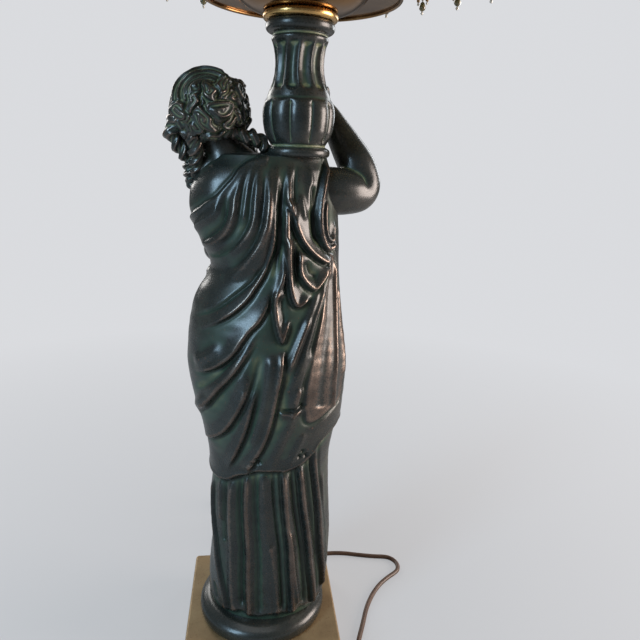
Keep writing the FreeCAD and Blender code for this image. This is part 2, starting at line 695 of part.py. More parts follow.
def finial():
    low = HUB_Z + HUB_T + FINIAL_EASE
    bore, depth = STUD_R + RUNNING_GAP, STUD_H + 1

    def up(share):
        return low + share * FINIAL_H

    return turned(
        (bore, low), (FINIAL_FOOT_R, low), (FINIAL_FOOT_R, up(0.08)), (FINIAL_NECK_R, up(0.16)),
        (FINIAL_NECK_R, up(0.30)),
        (FINIAL_R, up(0.56), FINIAL_TIP_R, up(0.84)), (FINIAL_TIP_R, up(1.0) - FINIAL_TIP_R),
        (FINIAL_TIP_R * math.sqrt(0.5), up(1.0) - FINIAL_TIP_R * (1 - math.sqrt(0.5)), 0, up(1.0)),
        (0, low + depth), (bore, low + depth),
    )


def harp_parts():
    save("harp_saddle", harp_saddle())
    save("harp", harp())
    for name, side in (("harp_sleeve_left", 1), ("harp_sleeve_right", -1)):
        at = Vector(AXIS_X + side * HARP_FOOT_X, AXIS_Y, 0)
        low = HOLDER_Z + FIT_GAP
        save(name, pipe(SLEEVE_R, HARP_WIRE_R + RUNNING_GAP, low, low + SLEEVE_H, at))
    save("finial", finial())


# ---- shade --------------------------------------------------------------------------------------


def cover_arc(inset):
    """The bell curve of the shade, from its foot to its top, as a step for turned."""
    return (SHADE_WAIST_R - inset, SHADE_BOTTOM_Z + SHADE_WAIST_UP, SHADE_TOP_R - inset, SHADE_TOP_Z)


def inside_curve(inset):
    """The circle that runs inset behind the cover's bell curve, in the plane of x and z."""
    waist = Vector(SHADE_WAIST_R, 0, SHADE_BOTTOM_Z + SHADE_WAIST_UP)
    bell = Part.Arc(Vector(SHADE_BOTTOM_R, 0, SHADE_BOTTOM_Z), waist, Vector(SHADE_TOP_R, 0, SHADE_TOP_Z))
    circle = bell.toShape().Curve
    return circle.Center, circle.Radius + inset


def inside_radius(inset, z):
    """How far from the axis that circle is at a height."""
    centre, radius = inside_curve(inset)
    return centre.x - math.sqrt(radius ** 2 - (z - centre.z) ** 2)


def shade_cover():
    foot_in, foot_out = SHADE_BOTTOM_R - SHADE_COVER_T, SHADE_BOTTOM_R
    outside = turned((0, SHADE_BOTTOM_Z), (foot_out, SHADE_BOTTOM_Z), cover_arc(0), (0, SHADE_TOP_Z))
    top_in = SHADE_TOP_R - SHADE_COVER_T
    inside = turned((0, SHADE_BOTTOM_Z - 1), (foot_in, SHADE_BOTTOM_Z - 1), (foot_in, SHADE_BOTTOM_Z),
                    cover_arc(SHADE_COVER_T), (top_in, SHADE_TOP_Z + 1), (0, SHADE_TOP_Z + 1))
    return outside.cut(inside)


def shade_spider():
    """Three wire arms, level by the hub and then bent up to the wire ring inside the shade's top."""
    ring_r = SHADE_TOP_R - SHADE_COVER_T - FIT_GAP - SHADE_WIRE_R
    ring_z = SHADE_TOP_Z - SHADE_WIRE_R
    arm_z = HUB_Z + HUB_T - SHADE_WIRE_R
    shape = Part.makeTorus(ring_r, SHADE_WIRE_R, AXIS + UP * ring_z)
    for k in range(SPIDER_ARMS):
        angle = math.radians(90 + 360 * k / SPIDER_ARMS)
        out = Vector(math.cos(angle), math.sin(angle), 0)
        start, bend = AXIS + out * (HUB_R - 1) + UP * arm_z, AXIS + out * ARM_BEND_R + UP * arm_z
        end = AXIS + out * ring_r + UP * ring_z
        level = straight(start, bend, SHADE_WIRE_R).cut(rod(HUB_R, arm_z - HUB_T - SHADE_WIRE_R, SHADE_TOP_Z))
        arm = level.fuse([Part.makeSphere(SHADE_WIRE_R, bend), straight(bend, end, SHADE_WIRE_R)])
        shape = shape.fuse(arm)
    return shape


def shade_ribs():
    inset = SHADE_COVER_T + FIT_GAP + RIB_R
    low, high = SHADE_BOTTOM_Z + 2 * SHADE_WIRE_R + RIB_GAP, SHADE_TOP_Z - 2 * SHADE_WIRE_R - RIB_GAP
    middle = (low + high) / 2
    points = [Vector(inside_radius(inset, z), 0, z) for z in (low, middle, high)]
    line = Part.Arc(*points).toShape()
    rib = swept([line], RIB_R, points[0], line.tangentAt(line.FirstParameter))
    ribs = []
    for k in range(SHADE_RIBS):
        copy = rib.copy()
        copy.rotate(Vector(), UP, 360 * (k + 0.5) / SHADE_RIBS)
        copy.translate(AXIS)
        ribs.append(copy)
    return Part.makeCompound(ribs)


def shade():
    save("shade_cover", shade_cover())
    save("shade_hub", pipe(HUB_R, STUD_R + RUNNING_GAP, HUB_Z, HUB_Z + HUB_T))
    save("shade_spider", shade_spider())
    ring_z = SHADE_BOTTOM_Z + SHADE_WIRE_R
    ring_r = inside_radius(SHADE_COVER_T + 2 * FIT_GAP + SHADE_WIRE_R, ring_z)
    save("shade_bottom_ring", Part.makeTorus(ring_r, SHADE_WIRE_R, AXIS + UP * ring_z))
    save("shade_ribs", shade_ribs())
    fringe_r = SHADE_BOTTOM_R + FIT_GAP
    braid_z = SHADE_BOTTOM_Z - BRAID_BELOW
    save("bottom_braid", pipe(fringe_r + BRAID_T, fringe_r, braid_z, braid_z + BRAID_H))
    top_r = SHADE_TOP_R + TOP_BRAID_OUT
    save("top_braid", pipe(top_r + BRAID_T, top_r, SHADE_TOP_Z - TOP_BRAID_H, SHADE_TOP_Z))
    save("bead_fringe", pipe(fringe_r + FRINGE_T, fringe_r, braid_z - FRINGE_H, braid_z))


# ---- cord ---------------------------------------------------------------------------------------


def cord_bushing():
    """A tapered rubber bushing, turned about the cord where it leaves the rear wall."""
    inside, bore = -PLINTH_WALL - 2, CORD_R + CORD_GRIP_GAP
    shape = turned(
        (bore, inside), (BUSHING_R, inside), (BUSHING_R, 0), (BUSHING_FLANGE_R, 0),
        (BUSHING_FLANGE_R, BUSHING_FLANGE_T), (BUSHING_R - 0.6, BUSHING_FLANGE_T + 0.6),
        (bore + BUSHING_TIP_WALL, BUSHING_OUT), (bore, BUSHING_OUT), at=Vector(),
    )
    shape.rotate(Vector(), Vector(1, 0, 0), -90)
    shape.translate(Vector(AXIS_X, REAR_Y, CORD_EXIT_Z))
    return shape


def inner_cord():
    """The lead from the bushing's tip, under the pipe and up inside it to the lampholder."""
    points = (
        (AXIS_X, REAR_Y + BUSHING_OUT, CORD_EXIT_Z), (AXIS_X, REAR_Y - PLINTH_WALL - 6, CORD_EXIT_Z),
        (AXIS_X, AXIS_Y + INNER_BEND, INNER_CORD_Z), (AXIS_X, AXIS_Y, INNER_CORD_Z),
        (AXIS_X, AXIS_Y, CORE_Z - 2),
    )
    edges, _ = rounded_route(points)
    return swept(edges, CORD_R, Vector(*points[0]), Vector(0, -1, 0))


def coil_edges():
    """Half turns that wind in on the table, climb a layer at the middle, and wind out one step wider."""
    inward = [(COIL_R - k * COIL_STEP, COIL_Z) for k in range(COIL_HALF_TURNS + 1)]
    steps = [COIL_HALF_TURNS + 1] + list(range(COIL_HALF_TURNS - 1, -1, -1))
    outward = [(COIL_R - k * COIL_STEP, COIL_Z + COIL_RISE) for k in steps]
    edges, side, before = [], 1, None
    for radius, z in inward + outward:
        here = Vector(COIL_X, COIL_Y + side * radius, z)
        if before is not None:
            edges += biarc(before, Vector(-side, 0, 0), here, Vector(side, 0, 0))
        before, side = here, -side
    return edges


def report_gap(edges):
    """Prints the least gap between one turn and another, measured on points a millimetre apart."""
    points = [p for edge in edges for p in edge.discretize(max(2, int(edge.Length)))[:-1]]
    apart = 25
    least = min(points[i].distanceToPoint(q) for i in range(len(points)) for q in points[i + apart:])
    print("coil: least gap to itself %.2f mm" % (least - CORD_D))


def report_tube(name, solid, edges, radii=()):
    """Prints a cord's length and how its volume agrees with its section times its length."""
    length = sum(edge.Length for edge in edges)
    print("%s: length %.0f mm, volume over section times length %.4f" % (
        name, length, solid.Volume / (math.pi * CORD_R ** 2 * length)))
    if radii:
        print("   radii", ", ".join("%.0f" % r for r in radii))


def cord_tie():
    """A flat band round the coil's bundle of turns, on the side away from the plug."""
    inner = COIL_R - (COIL_HALF_TURNS + 0.5) * COIL_STEP - CORD_R - TIE_GAP
    outer = COIL_R + CORD_R + TIE_GAP
    high = COIL_Z + COIL_RISE + CORD_R + TIE_GAP
    band = Part.makeBox(outer - inner + 2 * TIE_T, TIE_W, high + TIE_T,
                        Vector(COIL_X + inner - TIE_T, COIL_Y - TIE_W / 2, 0))
    return band.cut(Part.makeBox(outer - inner, TIE_W + 2, high - TIE_T,
                                 Vector(COIL_X + inner, COIL_Y - TIE_W / 2 - 1, TIE_T)))


def plug_body():
    block = Part.makeBox(PLUG_L, PLUG_W, PLUG_H, PLUG_AT - Vector(0, PLUG_W / 2, PLUG_H / 2))
    return block.makeFillet(3.0, block.Edges)


def plug_blades():
    blades = []
    for side in (-1, 1):
        offset = Vector(PLUG_L, side * BLADE_PITCH / 2 - BLADE_T / 2, -BLADE_W / 2)
        blades.append(Part.makeBox(BLADE_L, BLADE_T, BLADE_W, PLUG_AT + offset))
    return Part.makeCompound(blades)


def cord():
    save("cord_bushing", cord_bushing())
    save("inner_cord", inner_cord())
    for name, route in (("cord_run", FREE_ROUTE), ("cord_tail", TAIL_ROUTE)):
        edges, radii = rounded_route(route)
        tube = swept(edges, CORD_R, Vector(*route[0]), Vector(*route[1]) - Vector(*route[0]))
        report_tube(name, tube, edges, radii)
        save(name, tube)
    turns = coil_edges()
    coil = swept(turns, CORD_R, Vector(COIL_X, COIL_Y + COIL_R, COIL_Z), Vector(1, 0, 0))
    report_tube("cord_coil", coil, turns)
    report_gap(turns)
    save("cord_coil", coil)
    save("cord_tie", cord_tie())
    save("plug_body", plug_body())
    save("plug_blades", plug_blades())


foot()
figure()
brasswork()
lampholder()
bulb()
harp_parts()
shade()
cord()
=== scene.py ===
"""Figural table lamp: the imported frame's looks.

Metres; +Z is up, the figure faces -Y and its urn is on the -X side.
"""

import math

import bpy
import numpy as np
from mathutils import Matrix, Vector


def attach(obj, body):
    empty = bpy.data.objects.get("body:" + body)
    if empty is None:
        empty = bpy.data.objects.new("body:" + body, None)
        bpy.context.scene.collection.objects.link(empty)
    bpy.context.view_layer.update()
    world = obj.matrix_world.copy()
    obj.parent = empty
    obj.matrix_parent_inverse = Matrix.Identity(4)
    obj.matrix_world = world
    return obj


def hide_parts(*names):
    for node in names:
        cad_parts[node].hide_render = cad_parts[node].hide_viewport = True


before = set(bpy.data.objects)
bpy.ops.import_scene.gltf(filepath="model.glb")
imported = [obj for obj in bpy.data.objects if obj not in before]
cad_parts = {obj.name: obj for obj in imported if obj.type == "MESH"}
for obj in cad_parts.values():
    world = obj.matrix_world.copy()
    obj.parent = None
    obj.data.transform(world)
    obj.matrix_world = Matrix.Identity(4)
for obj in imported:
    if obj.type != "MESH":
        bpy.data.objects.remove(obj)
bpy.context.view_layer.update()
scene = bpy.context.scene
scene.view_settings.view_transform = "Standard"
MM = 0.001
AXIS_X, AXIS_Y = -21.0, 6.0


# ==== Camera =====================================================================================
# It looks down at the figure's back from about 0.4 m, a little from its left.

SENSOR_WIDTH, FOCAL_LENGTH = 36, 32.625
eye = Vector((0.0095, 0.4093, 0.3888))
yaw, pitch, roll = (math.radians(angle) for angle in (7.01, 15.86, 2.03))
level = math.cos(pitch)
ahead = Vector((-math.sin(yaw) * level, -math.cos(yaw) * level, -math.sin(pitch)))
across = Vector((-math.cos(yaw), math.sin(yaw), 0))
upward = across.cross(ahead)
camera_x = across * math.cos(roll) + upward * math.sin(roll)
camera_y = upward * math.cos(roll) - across * math.sin(roll)
camera = bpy.data.objects.new("camera", bpy.data.cameras.new("camera"))
camera.data.sensor_fit = "HORIZONTAL"
camera.data.sensor_width = SENSOR_WIDTH
camera.data.lens = FOCAL_LENGTH
camera.data.clip_start = 0.01
camera.matrix_world = Matrix([[camera_x[i], camera_y[i], -ahead[i], eye[i]] for i in range(3)]
                             + [[0, 0, 0, 1]])
scene.collection.objects.link(camera)
scene.camera = camera


# ==== Table top, backdrop and lamps ==============================================================
# A plain pale floor under a pale surround, with large soft lamps on four sides at a plain level.

PALE = (0.70, 0.71, 0.735)
SURROUND_LIGHT = 0.18
FLOOR_REACH = 30
FADE_FROM, FADE_TO = 0.15, 0.9      # metres over which the floor fades into the surround
FADE_LEAST = 0.55


def node(tree, kind, inputs=None, **settings):
    """Adds a node with its settings. Inputs go by name or number, and are values or sockets."""
    made = tree.nodes.new(kind)
    for key, value in settings.items():
        setattr(made, key, value)
    for key, value in (inputs or {}).items():
        if isinstance(value, bpy.types.NodeSocket):
            tree.links.new(value, made.inputs[key])
        else:
            made.inputs[key].default_value = value
    return made


def calc(tree, operation, *values):
    """The result of a Math node on sockets or numbers."""
    return node(tree, "ShaderNodeMath", dict(enumerate(values)), operation=operation).outputs[0]


def new_material(name, colour, roughness, metallic=0.0, **more):
    """A material, its node tree and its Principled shader, where every finish here starts."""
    material = bpy.data.materials.new(name)
    material.use_nodes = True
    bsdf = material.node_tree.nodes["Principled BSDF"]
    values = {"Base_Color": (*colour, 1), "Roughness": roughness, "Metallic": metallic, **more}
    for label, value in values.items():
        bsdf.inputs[label.replace("_", " ")].default_value = value
    return material, material.node_tree, bsdf


def glow(tree, kind, colour, strength):
    return node(tree, kind, {"Color": (*colour, 1), "Strength": strength}).outputs[0]


def mix_shaders(tree, share, first, second):
    return node(tree, "ShaderNodeMixShader", {0: share, 1: first, 2: second}).outputs[0]


studio = bpy.data.worlds.new("studio")
studio.use_nodes = True
tree = studio.node_tree
tree.nodes.clear()
rays = node(tree, "ShaderNodeLightPath").outputs
seen = mix_shaders(tree, calc(tree, "MAXIMUM", rays["Is Camera Ray"], rays["Is Transmission Ray"]),
                   glow(tree, "ShaderNodeBackground", (1, 1, 1), SURROUND_LIGHT),
                   glow(tree, "ShaderNodeBackground", PALE, 1.0))
node(tree, "ShaderNodeOutputWorld", {0: seen})
scene.world = studio

floor_mesh = bpy.data.meshes.new("table_top")
corners = ((-1, -1), (1, -1), (1, 1), (-1, 1))
floor_mesh.from_pydata([(x * FLOOR_REACH, y * FLOOR_REACH, 0) for x, y in corners], [],
                       [(0, 1, 2, 3)])
floor = bpy.data.objects.new("table_top", floor_mesh)
scene.collection.objects.link(floor)
floor_material, tree, bsdf = new_material("pale_floor", (0.40, 0.40, 0.405), 0.9,
                                          Specular_IOR_Level=0.05)
distance = node(tree, "ShaderNodeVectorMath",
                {0: node(tree, "ShaderNodeTexCoord").outputs["Object"]}, operation="LENGTH")
fade = node(tree, "ShaderNodeMapRange",
            {0: distance.outputs["Value"], 1: FADE_FROM, 2: FADE_TO, 3: FADE_LEAST, 4: 1.0})
seen_floor = mix_shaders(tree, fade.outputs[0], bsdf.outputs[0],
                         glow(tree, "ShaderNodeEmission", PALE, 1.0))
camera_ray = node(tree, "ShaderNodeLightPath").outputs["Is Camera Ray"]
tree.links.new(mix_shaders(tree, camera_ray, bsdf.outputs[0], seen_floor),
               tree.nodes["Material Output"].inputs["Surface"])
floor_mesh.materials.append(floor_material)

# Name, place, point it faces, width, height, watts and colour of each soft lamp
for name, place, aim, width, height, watts, colour in (
    ("window_left", (1.15, 1.0, 0.95), (0, 0, 0.3), 0.4, 1.1, 22, (0.52, 0.78, 1.0)),
    ("room_right", (-1.4, 0.15, 0.46), (0, 0, 0.25), 0.75, 0.85, 25, (1.0, 0.86, 0.78)),
    ("overhead", (0.1, 0.2, 2.4), (0, 0, 0.3), 1.6, 1.6, 14, (1.0, 1.0, 1.0)),
    ("front_left", (1.1, -1.7, 1.1), (0, 0, 0.3), 0.8, 1.2, 17, (1.0, 0.98, 0.95)),
    ("front_right", (-1.3, -1.5, 0.9), (0, 0, 0.3), 0.7, 1.0, 9, (0.94, 0.97, 1.0)),
):
    data = bpy.data.lights.new(name, "AREA")
    data.shape = "RECTANGLE"
    data.size, data.size_y = width, height
    data.energy, data.color = watts, colour
    lamp = bpy.data.objects.new(name, data)
    lamp.location = place
    lamp.rotation_euler = (Vector(aim) - Vector(place)).to_track_quat("-Z", "Y").to_euler()
    scene.collection.objects.link(lamp)


# ==== Foot: felt, square plinth, ballast and pipe ================================================
# A hollow cast-iron square block painted a flat gold that has gone brown in specks, with a green
# felt glued under it. Inside, an iron ballast plate, a washer and a nut are held by the threaded
# pipe.

def shade(value):
    """A colour's four channels, from a colour or a number for a grey. A socket stays as it is."""
    if isinstance(value, bpy.types.NodeSocket):
        return value
    return (*value, 1) if isinstance(value, tuple) else (value, value, value, 1)


def ramp(tree, source, *stops):
    """A colour ramp on a value. Each stop is a position and a colour, or a number for a grey."""
    made = node(tree, "ShaderNodeValToRGB", {0: source})
    elements = made.color_ramp.elements
    for element, (place, value) in zip(elements, (stops[0], stops[-1])):
        element.position, element.color = place, shade(value)
    for place, value in stops[1:-1]:
        elements.new(place).color = shade(value)
    return made.outputs[0]


def blend(tree, mask, first, second):
    """Mixes two colours, each a socket, a colour or a grey, by a mask."""
    return node(tree, "ShaderNodeMix", {0: mask, 6: shade(first), 7: shade(second)},
                data_type="RGBA").outputs[2]


# Specks and blotches, which the gold paint, the patina and the brass all have
GRAIN_SCALE = 2600.0
specks = bpy.data.node_groups.new("specks", "ShaderNodeTree")
for label, way in (("Blotch Scale", "INPUT"), ("Speck Scale", "INPUT"), ("Blotch", "OUTPUT"),
                   ("Speck", "OUTPUT"), ("Grain", "OUTPUT")):
    specks.interface.new_socket(label, in_out=way, socket_type="NodeSocketFloat")
scales = node(specks, "NodeGroupInput").outputs
place = node(specks, "ShaderNodeTexCoord").outputs["Object"]
node(specks, "NodeGroupOutput", {
    label: node(specks, "ShaderNodeTexNoise", {
        "Vector": place, "Scale": scale, "Detail": detail, "Roughness": roughness}).outputs["Fac"]
    for label, scale, detail, roughness in (
        ("Blotch", scales["Blotch Scale"], 4.0, 0.6), ("Speck", scales["Speck Scale"], 3.0, 0.7),
        ("Grain", GRAIN_SCALE, 2.0, 0.6))
})


def marks_on(tree, blotch_scale, speck_scale):
    """Puts the specks into a material at its own scales, and returns their outputs."""
    return node(tree, "ShaderNodeGroup", {"Blotch Scale": blotch_scale, "Speck Scale": speck_scale},
                node_tree=specks).outputs


def feed(bsdf, label, source):
    bsdf.id_data.links.new(source, bsdf.inputs[label])


def bump(tree, bsdf, height, strength, distance):
    """Feeds a height to the shader's normal through a Bump node."""
    made = node(tree, "ShaderNodeBump",
                {"Strength": strength, "Distance": distance, "Height": height})
    feed(bsdf, "Normal", made.outputs["Normal"])


def mottled(name, colour, roughness, metallic=0.0, *, scales, tint=None, rough=None, relief=None,
            **more):
    """A finish with specks. Tint and rough are a texture and the stops of a ramp on it, and relief
    is a texture, a strength and a depth."""
    material, tree, bsdf = new_material(name, colour, roughness, metallic, **more)
    marks = marks_on(tree, *scales)
    for label, given in (("Base Color", tint), ("Roughness", rough)):
        if given:
            feed(bsdf, label, ramp(tree, marks[given[0]], *given[1:]))
    if relief:
        bump(tree, bsdf, marks[relief[0]], *relief[1:])
    return material


def dress(material, *names):
    """Gives the finish to pieces that keep their shape from the frame."""
    for name in names:
        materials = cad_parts[name].data.materials
        materials.clear()
        materials.append(material)


plinth_gold, tree, bsdf = new_material("plinth_gold", (0.36, 0.25, 0.12), 0.5, 0.35)
marks = marks_on(tree, 38.0, 420.0)
paint = ramp(tree, marks["Blotch"], (0.3, (0.21, 0.135, 0.065)), (0.5, (0.27, 0.18, 0.088)),
             (0.7, (0.31, 0.215, 0.11)))
dots = ramp(tree, marks["Speck"], (0.58, 0.0), (0.72, 0.7))
feed(bsdf, "Base Color", blend(tree, dots, paint, (0.16, 0.085, 0.04)))
feed(bsdf, "Roughness", ramp(tree, marks["Speck"], (0.3, 0.38), (0.7, 0.62)))
bump(tree, bsdf, marks["Speck"], 0.35, 0.0004)
dress(plinth_gold, "square_plinth")
dress(mottled(
    "green_felt", (0.03, 0.06, 0.035), 0.95, scales=(90.0, 1500.0), Sheen_Weight=0.4,
    tint=("Speck", (0.3, (0.02, 0.045, 0.026)), (0.7, (0.045, 0.085, 0.05))),
    relief=("Speck", 0.6, 0.0005)), "felt_pad")
dress(mottled(
    "rough_iron", (0.05, 0.045, 0.042), 0.7, 0.7, scales=(60.0, 700.0),
    tint=("Blotch", (0.35, (0.045, 0.042, 0.04)), (0.7, (0.1, 0.06, 0.04))),
    relief=("Speck", 0.5, 0.0004)), "ballast_plate")
dress(mottled(
    "zinc_steel", (0.5, 0.5, 0.49), 0.35, 1.0, scales=(120.0, 900.0),
    tint=("Blotch", (0.35, (0.42, 0.42, 0.41)), (0.65, (0.58, 0.58, 0.57))),
    rough=("Speck", (0.3, 0.28), (0.7, 0.45)), relief=("Grain", 0.15, 0.0002)),
    "pipe_nut", "pipe_washer", "threaded_pipe", "shade_bottom_ring", "shade_ribs")


# ==== Patina of the cast figure ==================================================================
# Every casting is spelter with a glossy green-black patina: verdigris lies in the hollows, and the
# high folds show a warm grey-brown wear. The deepest creases are painted near black as shade, and
# the right-hand panel is painted lighter and warmer as a sheen. The meshes carry these as masks.

MASKS = ("hollow", "rubbed_and_sheen", "crease_shade")


def broken(mask, texture, low, high):
    """A painted mask broken up by a texture, so that its edge isn't even."""
    uneven = calc(tree, "ADD", mask, calc(tree, "MULTIPLY_ADD", texture, 0.8, -0.4))
    return ramp(tree, uneven, (low, 0.0), (high, 1.0))


patina, tree, bsdf = new_material("patina", (0.03, 0.036, 0.03), 0.34)
marks = marks_on(tree, 55.0, 650.0)
hollow, rubbed_and_sheen, crease_shade = (node(tree, "ShaderNodeAttribute", attribute_name=label).outputs["Fac"]
                        for label in MASKS)
green_mask = broken(hollow, marks["Blotch"], 0.05, 0.95)
# The second mask is wear on the high folds, and on the right-hand panel a painted sheen.
rub_and_sheen_mask = broken(rubbed_and_sheen, marks["Speck"], 0.75, 1.0)
dark = ramp(tree, marks["Blotch"], (0.3, (0.012, 0.015, 0.014)), (0.5, (0.018, 0.021, 0.018)),
            (0.72, (0.034, 0.029, 0.024)))
teal = blend(tree, ramp(tree, green_mask, (0.0, 0.0), (0.6, 1.0)), dark, (0.032, 0.058, 0.039))
moss = blend(tree, ramp(tree, green_mask, (0.55, 0.0), (1.0, 1.0)), teal, (0.085, 0.102, 0.055))

# A yellow-green bloom in the deepest hollows, most of it high up and on the urn's side
where = node(tree, "ShaderNodeSeparateXYZ",
             {0: node(tree, "ShaderNodeTexCoord").outputs["Object"]}).outputs
urn_side = ramp(tree, calc(tree, "ADD", where["X"], 0.5), (0.488, 1.0), (0.506, 0.7))
high_up = ramp(tree, where["Z"], (0.372, 0.45), (0.384, 1.0))
bloom_mask = calc(tree, "MULTIPLY", ramp(tree, green_mask, (0.72, 0.0), (1.0, 1.0)),
                  calc(tree, "MULTIPLY", high_up, urn_side))
bloom = ramp(tree, marks["Speck"], (0.35, (0.10, 0.115, 0.055)), (0.65, (0.20, 0.21, 0.12)))
with_green = blend(tree, bloom_mask, moss, bloom)

warm = ramp(tree, marks["Blotch"], (0.35, (0.105, 0.086, 0.074)), (0.65, (0.20, 0.157, 0.132)))
cast_colour = blend(tree, rub_and_sheen_mask, with_green, warm)
scuffs = node(tree, "ShaderNodeTexNoise", {"Scale": 120.0, "Detail": 1.0}).outputs["Fac"]
scuffed = blend(tree, ramp(tree, scuffs, (0.70, 0.0), (0.76, 0.8)), cast_colour,
                (0.13, 0.06, 0.035))
rough = ramp(tree, marks["Speck"], (0.3, 0.24), (0.7, 0.33))
# Painted shade: the deepest creases go near black, and their specular is turned down.
feed(bsdf, "Base Color", blend(tree, crease_shade, scuffed, (0.003, 0.004, 0.004)))
feed(bsdf, "Specular IOR Level", ramp(tree, crease_shade, (0.0, 0.55), (1.0, 0.12)))
feed(bsdf, "Roughness", blend(tree, green_mask, rough, 0.42))
feed(bsdf, "Metallic", rub_and_sheen_mask)
bump(tree, bsdf, marks["Speck"], 0.07, 0.0003)


def paint_mask(mesh, label, values):
    """Keeps a value for each point of a mesh, as a mask that a shader can read."""
    layer = mesh.attributes.get(label) or mesh.attributes.new(label, "FLOAT", "POINT")
    layer.data.foreach_set("value", np.asarray(values, dtype=np.float32))


def read_all(items, label, size=1, kind=float):
    """One property of all items, in rows of size values."""
    values = np.zeros(len(items) * size, dtype=kind)
    items.foreach_get(label, values)
    return values.reshape(-1, size)


def add_piece(name, points, faces, material, masks=None):
    """A smooth mesh piece at the origin, from points in millimetres. A mask has a value for each."""
    mesh = bpy.data.meshes.new(name)
    mesh.from_pydata((np.asarray(points, dtype=float) * MM).tolist(), [], faces)
    mesh.validate()
    mesh.polygons.foreach_set("use_smooth", [True] * len(mesh.polygons))
    for label, values in (masks or {}).items():
        paint_mask(mesh, label, values)
    mesh.materials.append(material)
    piece = bpy.data.objects.new(name, mesh)
    scene.collection.objects.link(piece)
    return piece


def grid_faces(rows, columns, closed=True):
    """Quads of a grid whose columns go all the way round, and its two ends if it is closed."""
    faces = []
    for low in range(0, (rows - 1) * columns, columns):
        for column in range(columns):
            after = (column + 1) % columns
            faces.append((low + column, low + after, low + columns + after, low + columns + column))
    if closed:
        faces.append(tuple(range(columns))[::-1])
        faces.append(tuple(range((rows - 1) * columns, rows * columns)))
    return faces


def unit(vector):
    """A vector of length one, or a list of them."""
    return vector / np.linalg.norm(vector, axis=-1, keepdims=True)


def smooth_line(points, steps):
    """A curve through every point, with so many places between one point and the next."""
    points = np.asarray(points, dtype=float)
    padded = np.vstack([2 * points[0] - points[1], points, 2 * points[-1] - points[-2]])
    line = []
    for a, b, c, d in zip(padded, padded[1:], padded[2:], padded[3:]):
        for t in np.linspace(0, 1, steps, endpoint=False):
            line.append(0.5 * (2 * b + (c - a) * t + (2 * a - 5 * b + 4 * c - d) * t ** 2
                               + (3 * b - 3 * c + d - a) * t ** 3))
    return np.asarray(line + [points[-1]])


def ease(values, low, high):
    """Rises smoothly from 0 at low to 1 at high."""
    share = np.clip((values - low) / (high - low), 0, 1)
    return share * share * (3 - 2 * share)


def wear(piece, rounds, hollow_at, rubbed_at):
    """Marks hollows and high spots, by how many millimetres they lie below or above the piece's own
    shape after so many rounds of smoothing."""
    mesh = piece.data
    count = len(mesh.vertices)
    places, normals = (read_all(mesh.vertices, label, 3) for label in ("co", "normal"))
    places /= MM
    first, second = read_all(mesh.edges, "vertices", 2, int).T
    ends, starts = np.concatenate([first, second]), np.concatenate([second, first])
    share = 1 / np.maximum(np.bincount(ends, minlength=count), 1)
    smooth = places
    for _ in range(rounds):
        pull = [share * np.bincount(ends, smooth[starts, k], count) for k in range(3)]
        smooth = 0.5 * smooth + 0.5 * np.stack(pull, axis=1)
    relief = ((places - smooth) * normals).sum(axis=1)
    paint_mask(mesh, "hollow", np.clip(-relief / hollow_at, 0, 1))
    paint_mask(mesh, "rubbed_and_sheen", np.clip(relief / rubbed_at, 0, 1))
# ==== Drapery: how the folds are carved ==========================================================
# A casting is a stack of ovals, and each fold is a stroke pushed out of it or cut into it along a
# line of (x, height) points on its back or front. A layer is a raised sheet of cloth inside an
# outline.

TURN = 46.0             # millimetres of cloth to a radian
LEVEL_BLUR = 8          # rows on each side over which the ovals are evened out
CORNER_STEPS = 6

# Strokes along an edge: where each lies inside the edge, and its width
SHEER_FALL, UNDERCUT = (0, 0.55), (-1.6, 1.1)
LAYER_REACH, LAYER_LIP, LAYER_UNDER = 9, (1.3, 1.2), (-1.8, 1.3)
HEM_TUCK, HEM_LIP, HEM_UNDER = (0, 7), (1.6, 1.3), (-2, 1.4)

# Millimetres below or above the cloth round it at which a point is wholly painted crease shade,
# wholly hollow or at full wear
CREASE_SHADE_DEPTH, HOLLOW_DEPTH, RUBBED_HEIGHT = 0.35, 1.4, 1.2

# Rings that close a casting's top and underside, as shares of its rim
TOP_RINGS = (0.96, 0.9, 0.8, 0.66, 0.46, 0.24, 0.02)
FOOT_RINGS = (0.9, 0.5, 0.02)


def cover_of(gap, edge):
    """How far cloth covers a point, from its distance inside the cloth's edge."""
    return 1 / (1 + np.exp(-gap / edge * 2.2))


def stroke(gap, place, width):
    """How strong a stroke along an edge is, from the distance inside the edge."""
    return np.exp(-((gap - place) / width) ** 2)


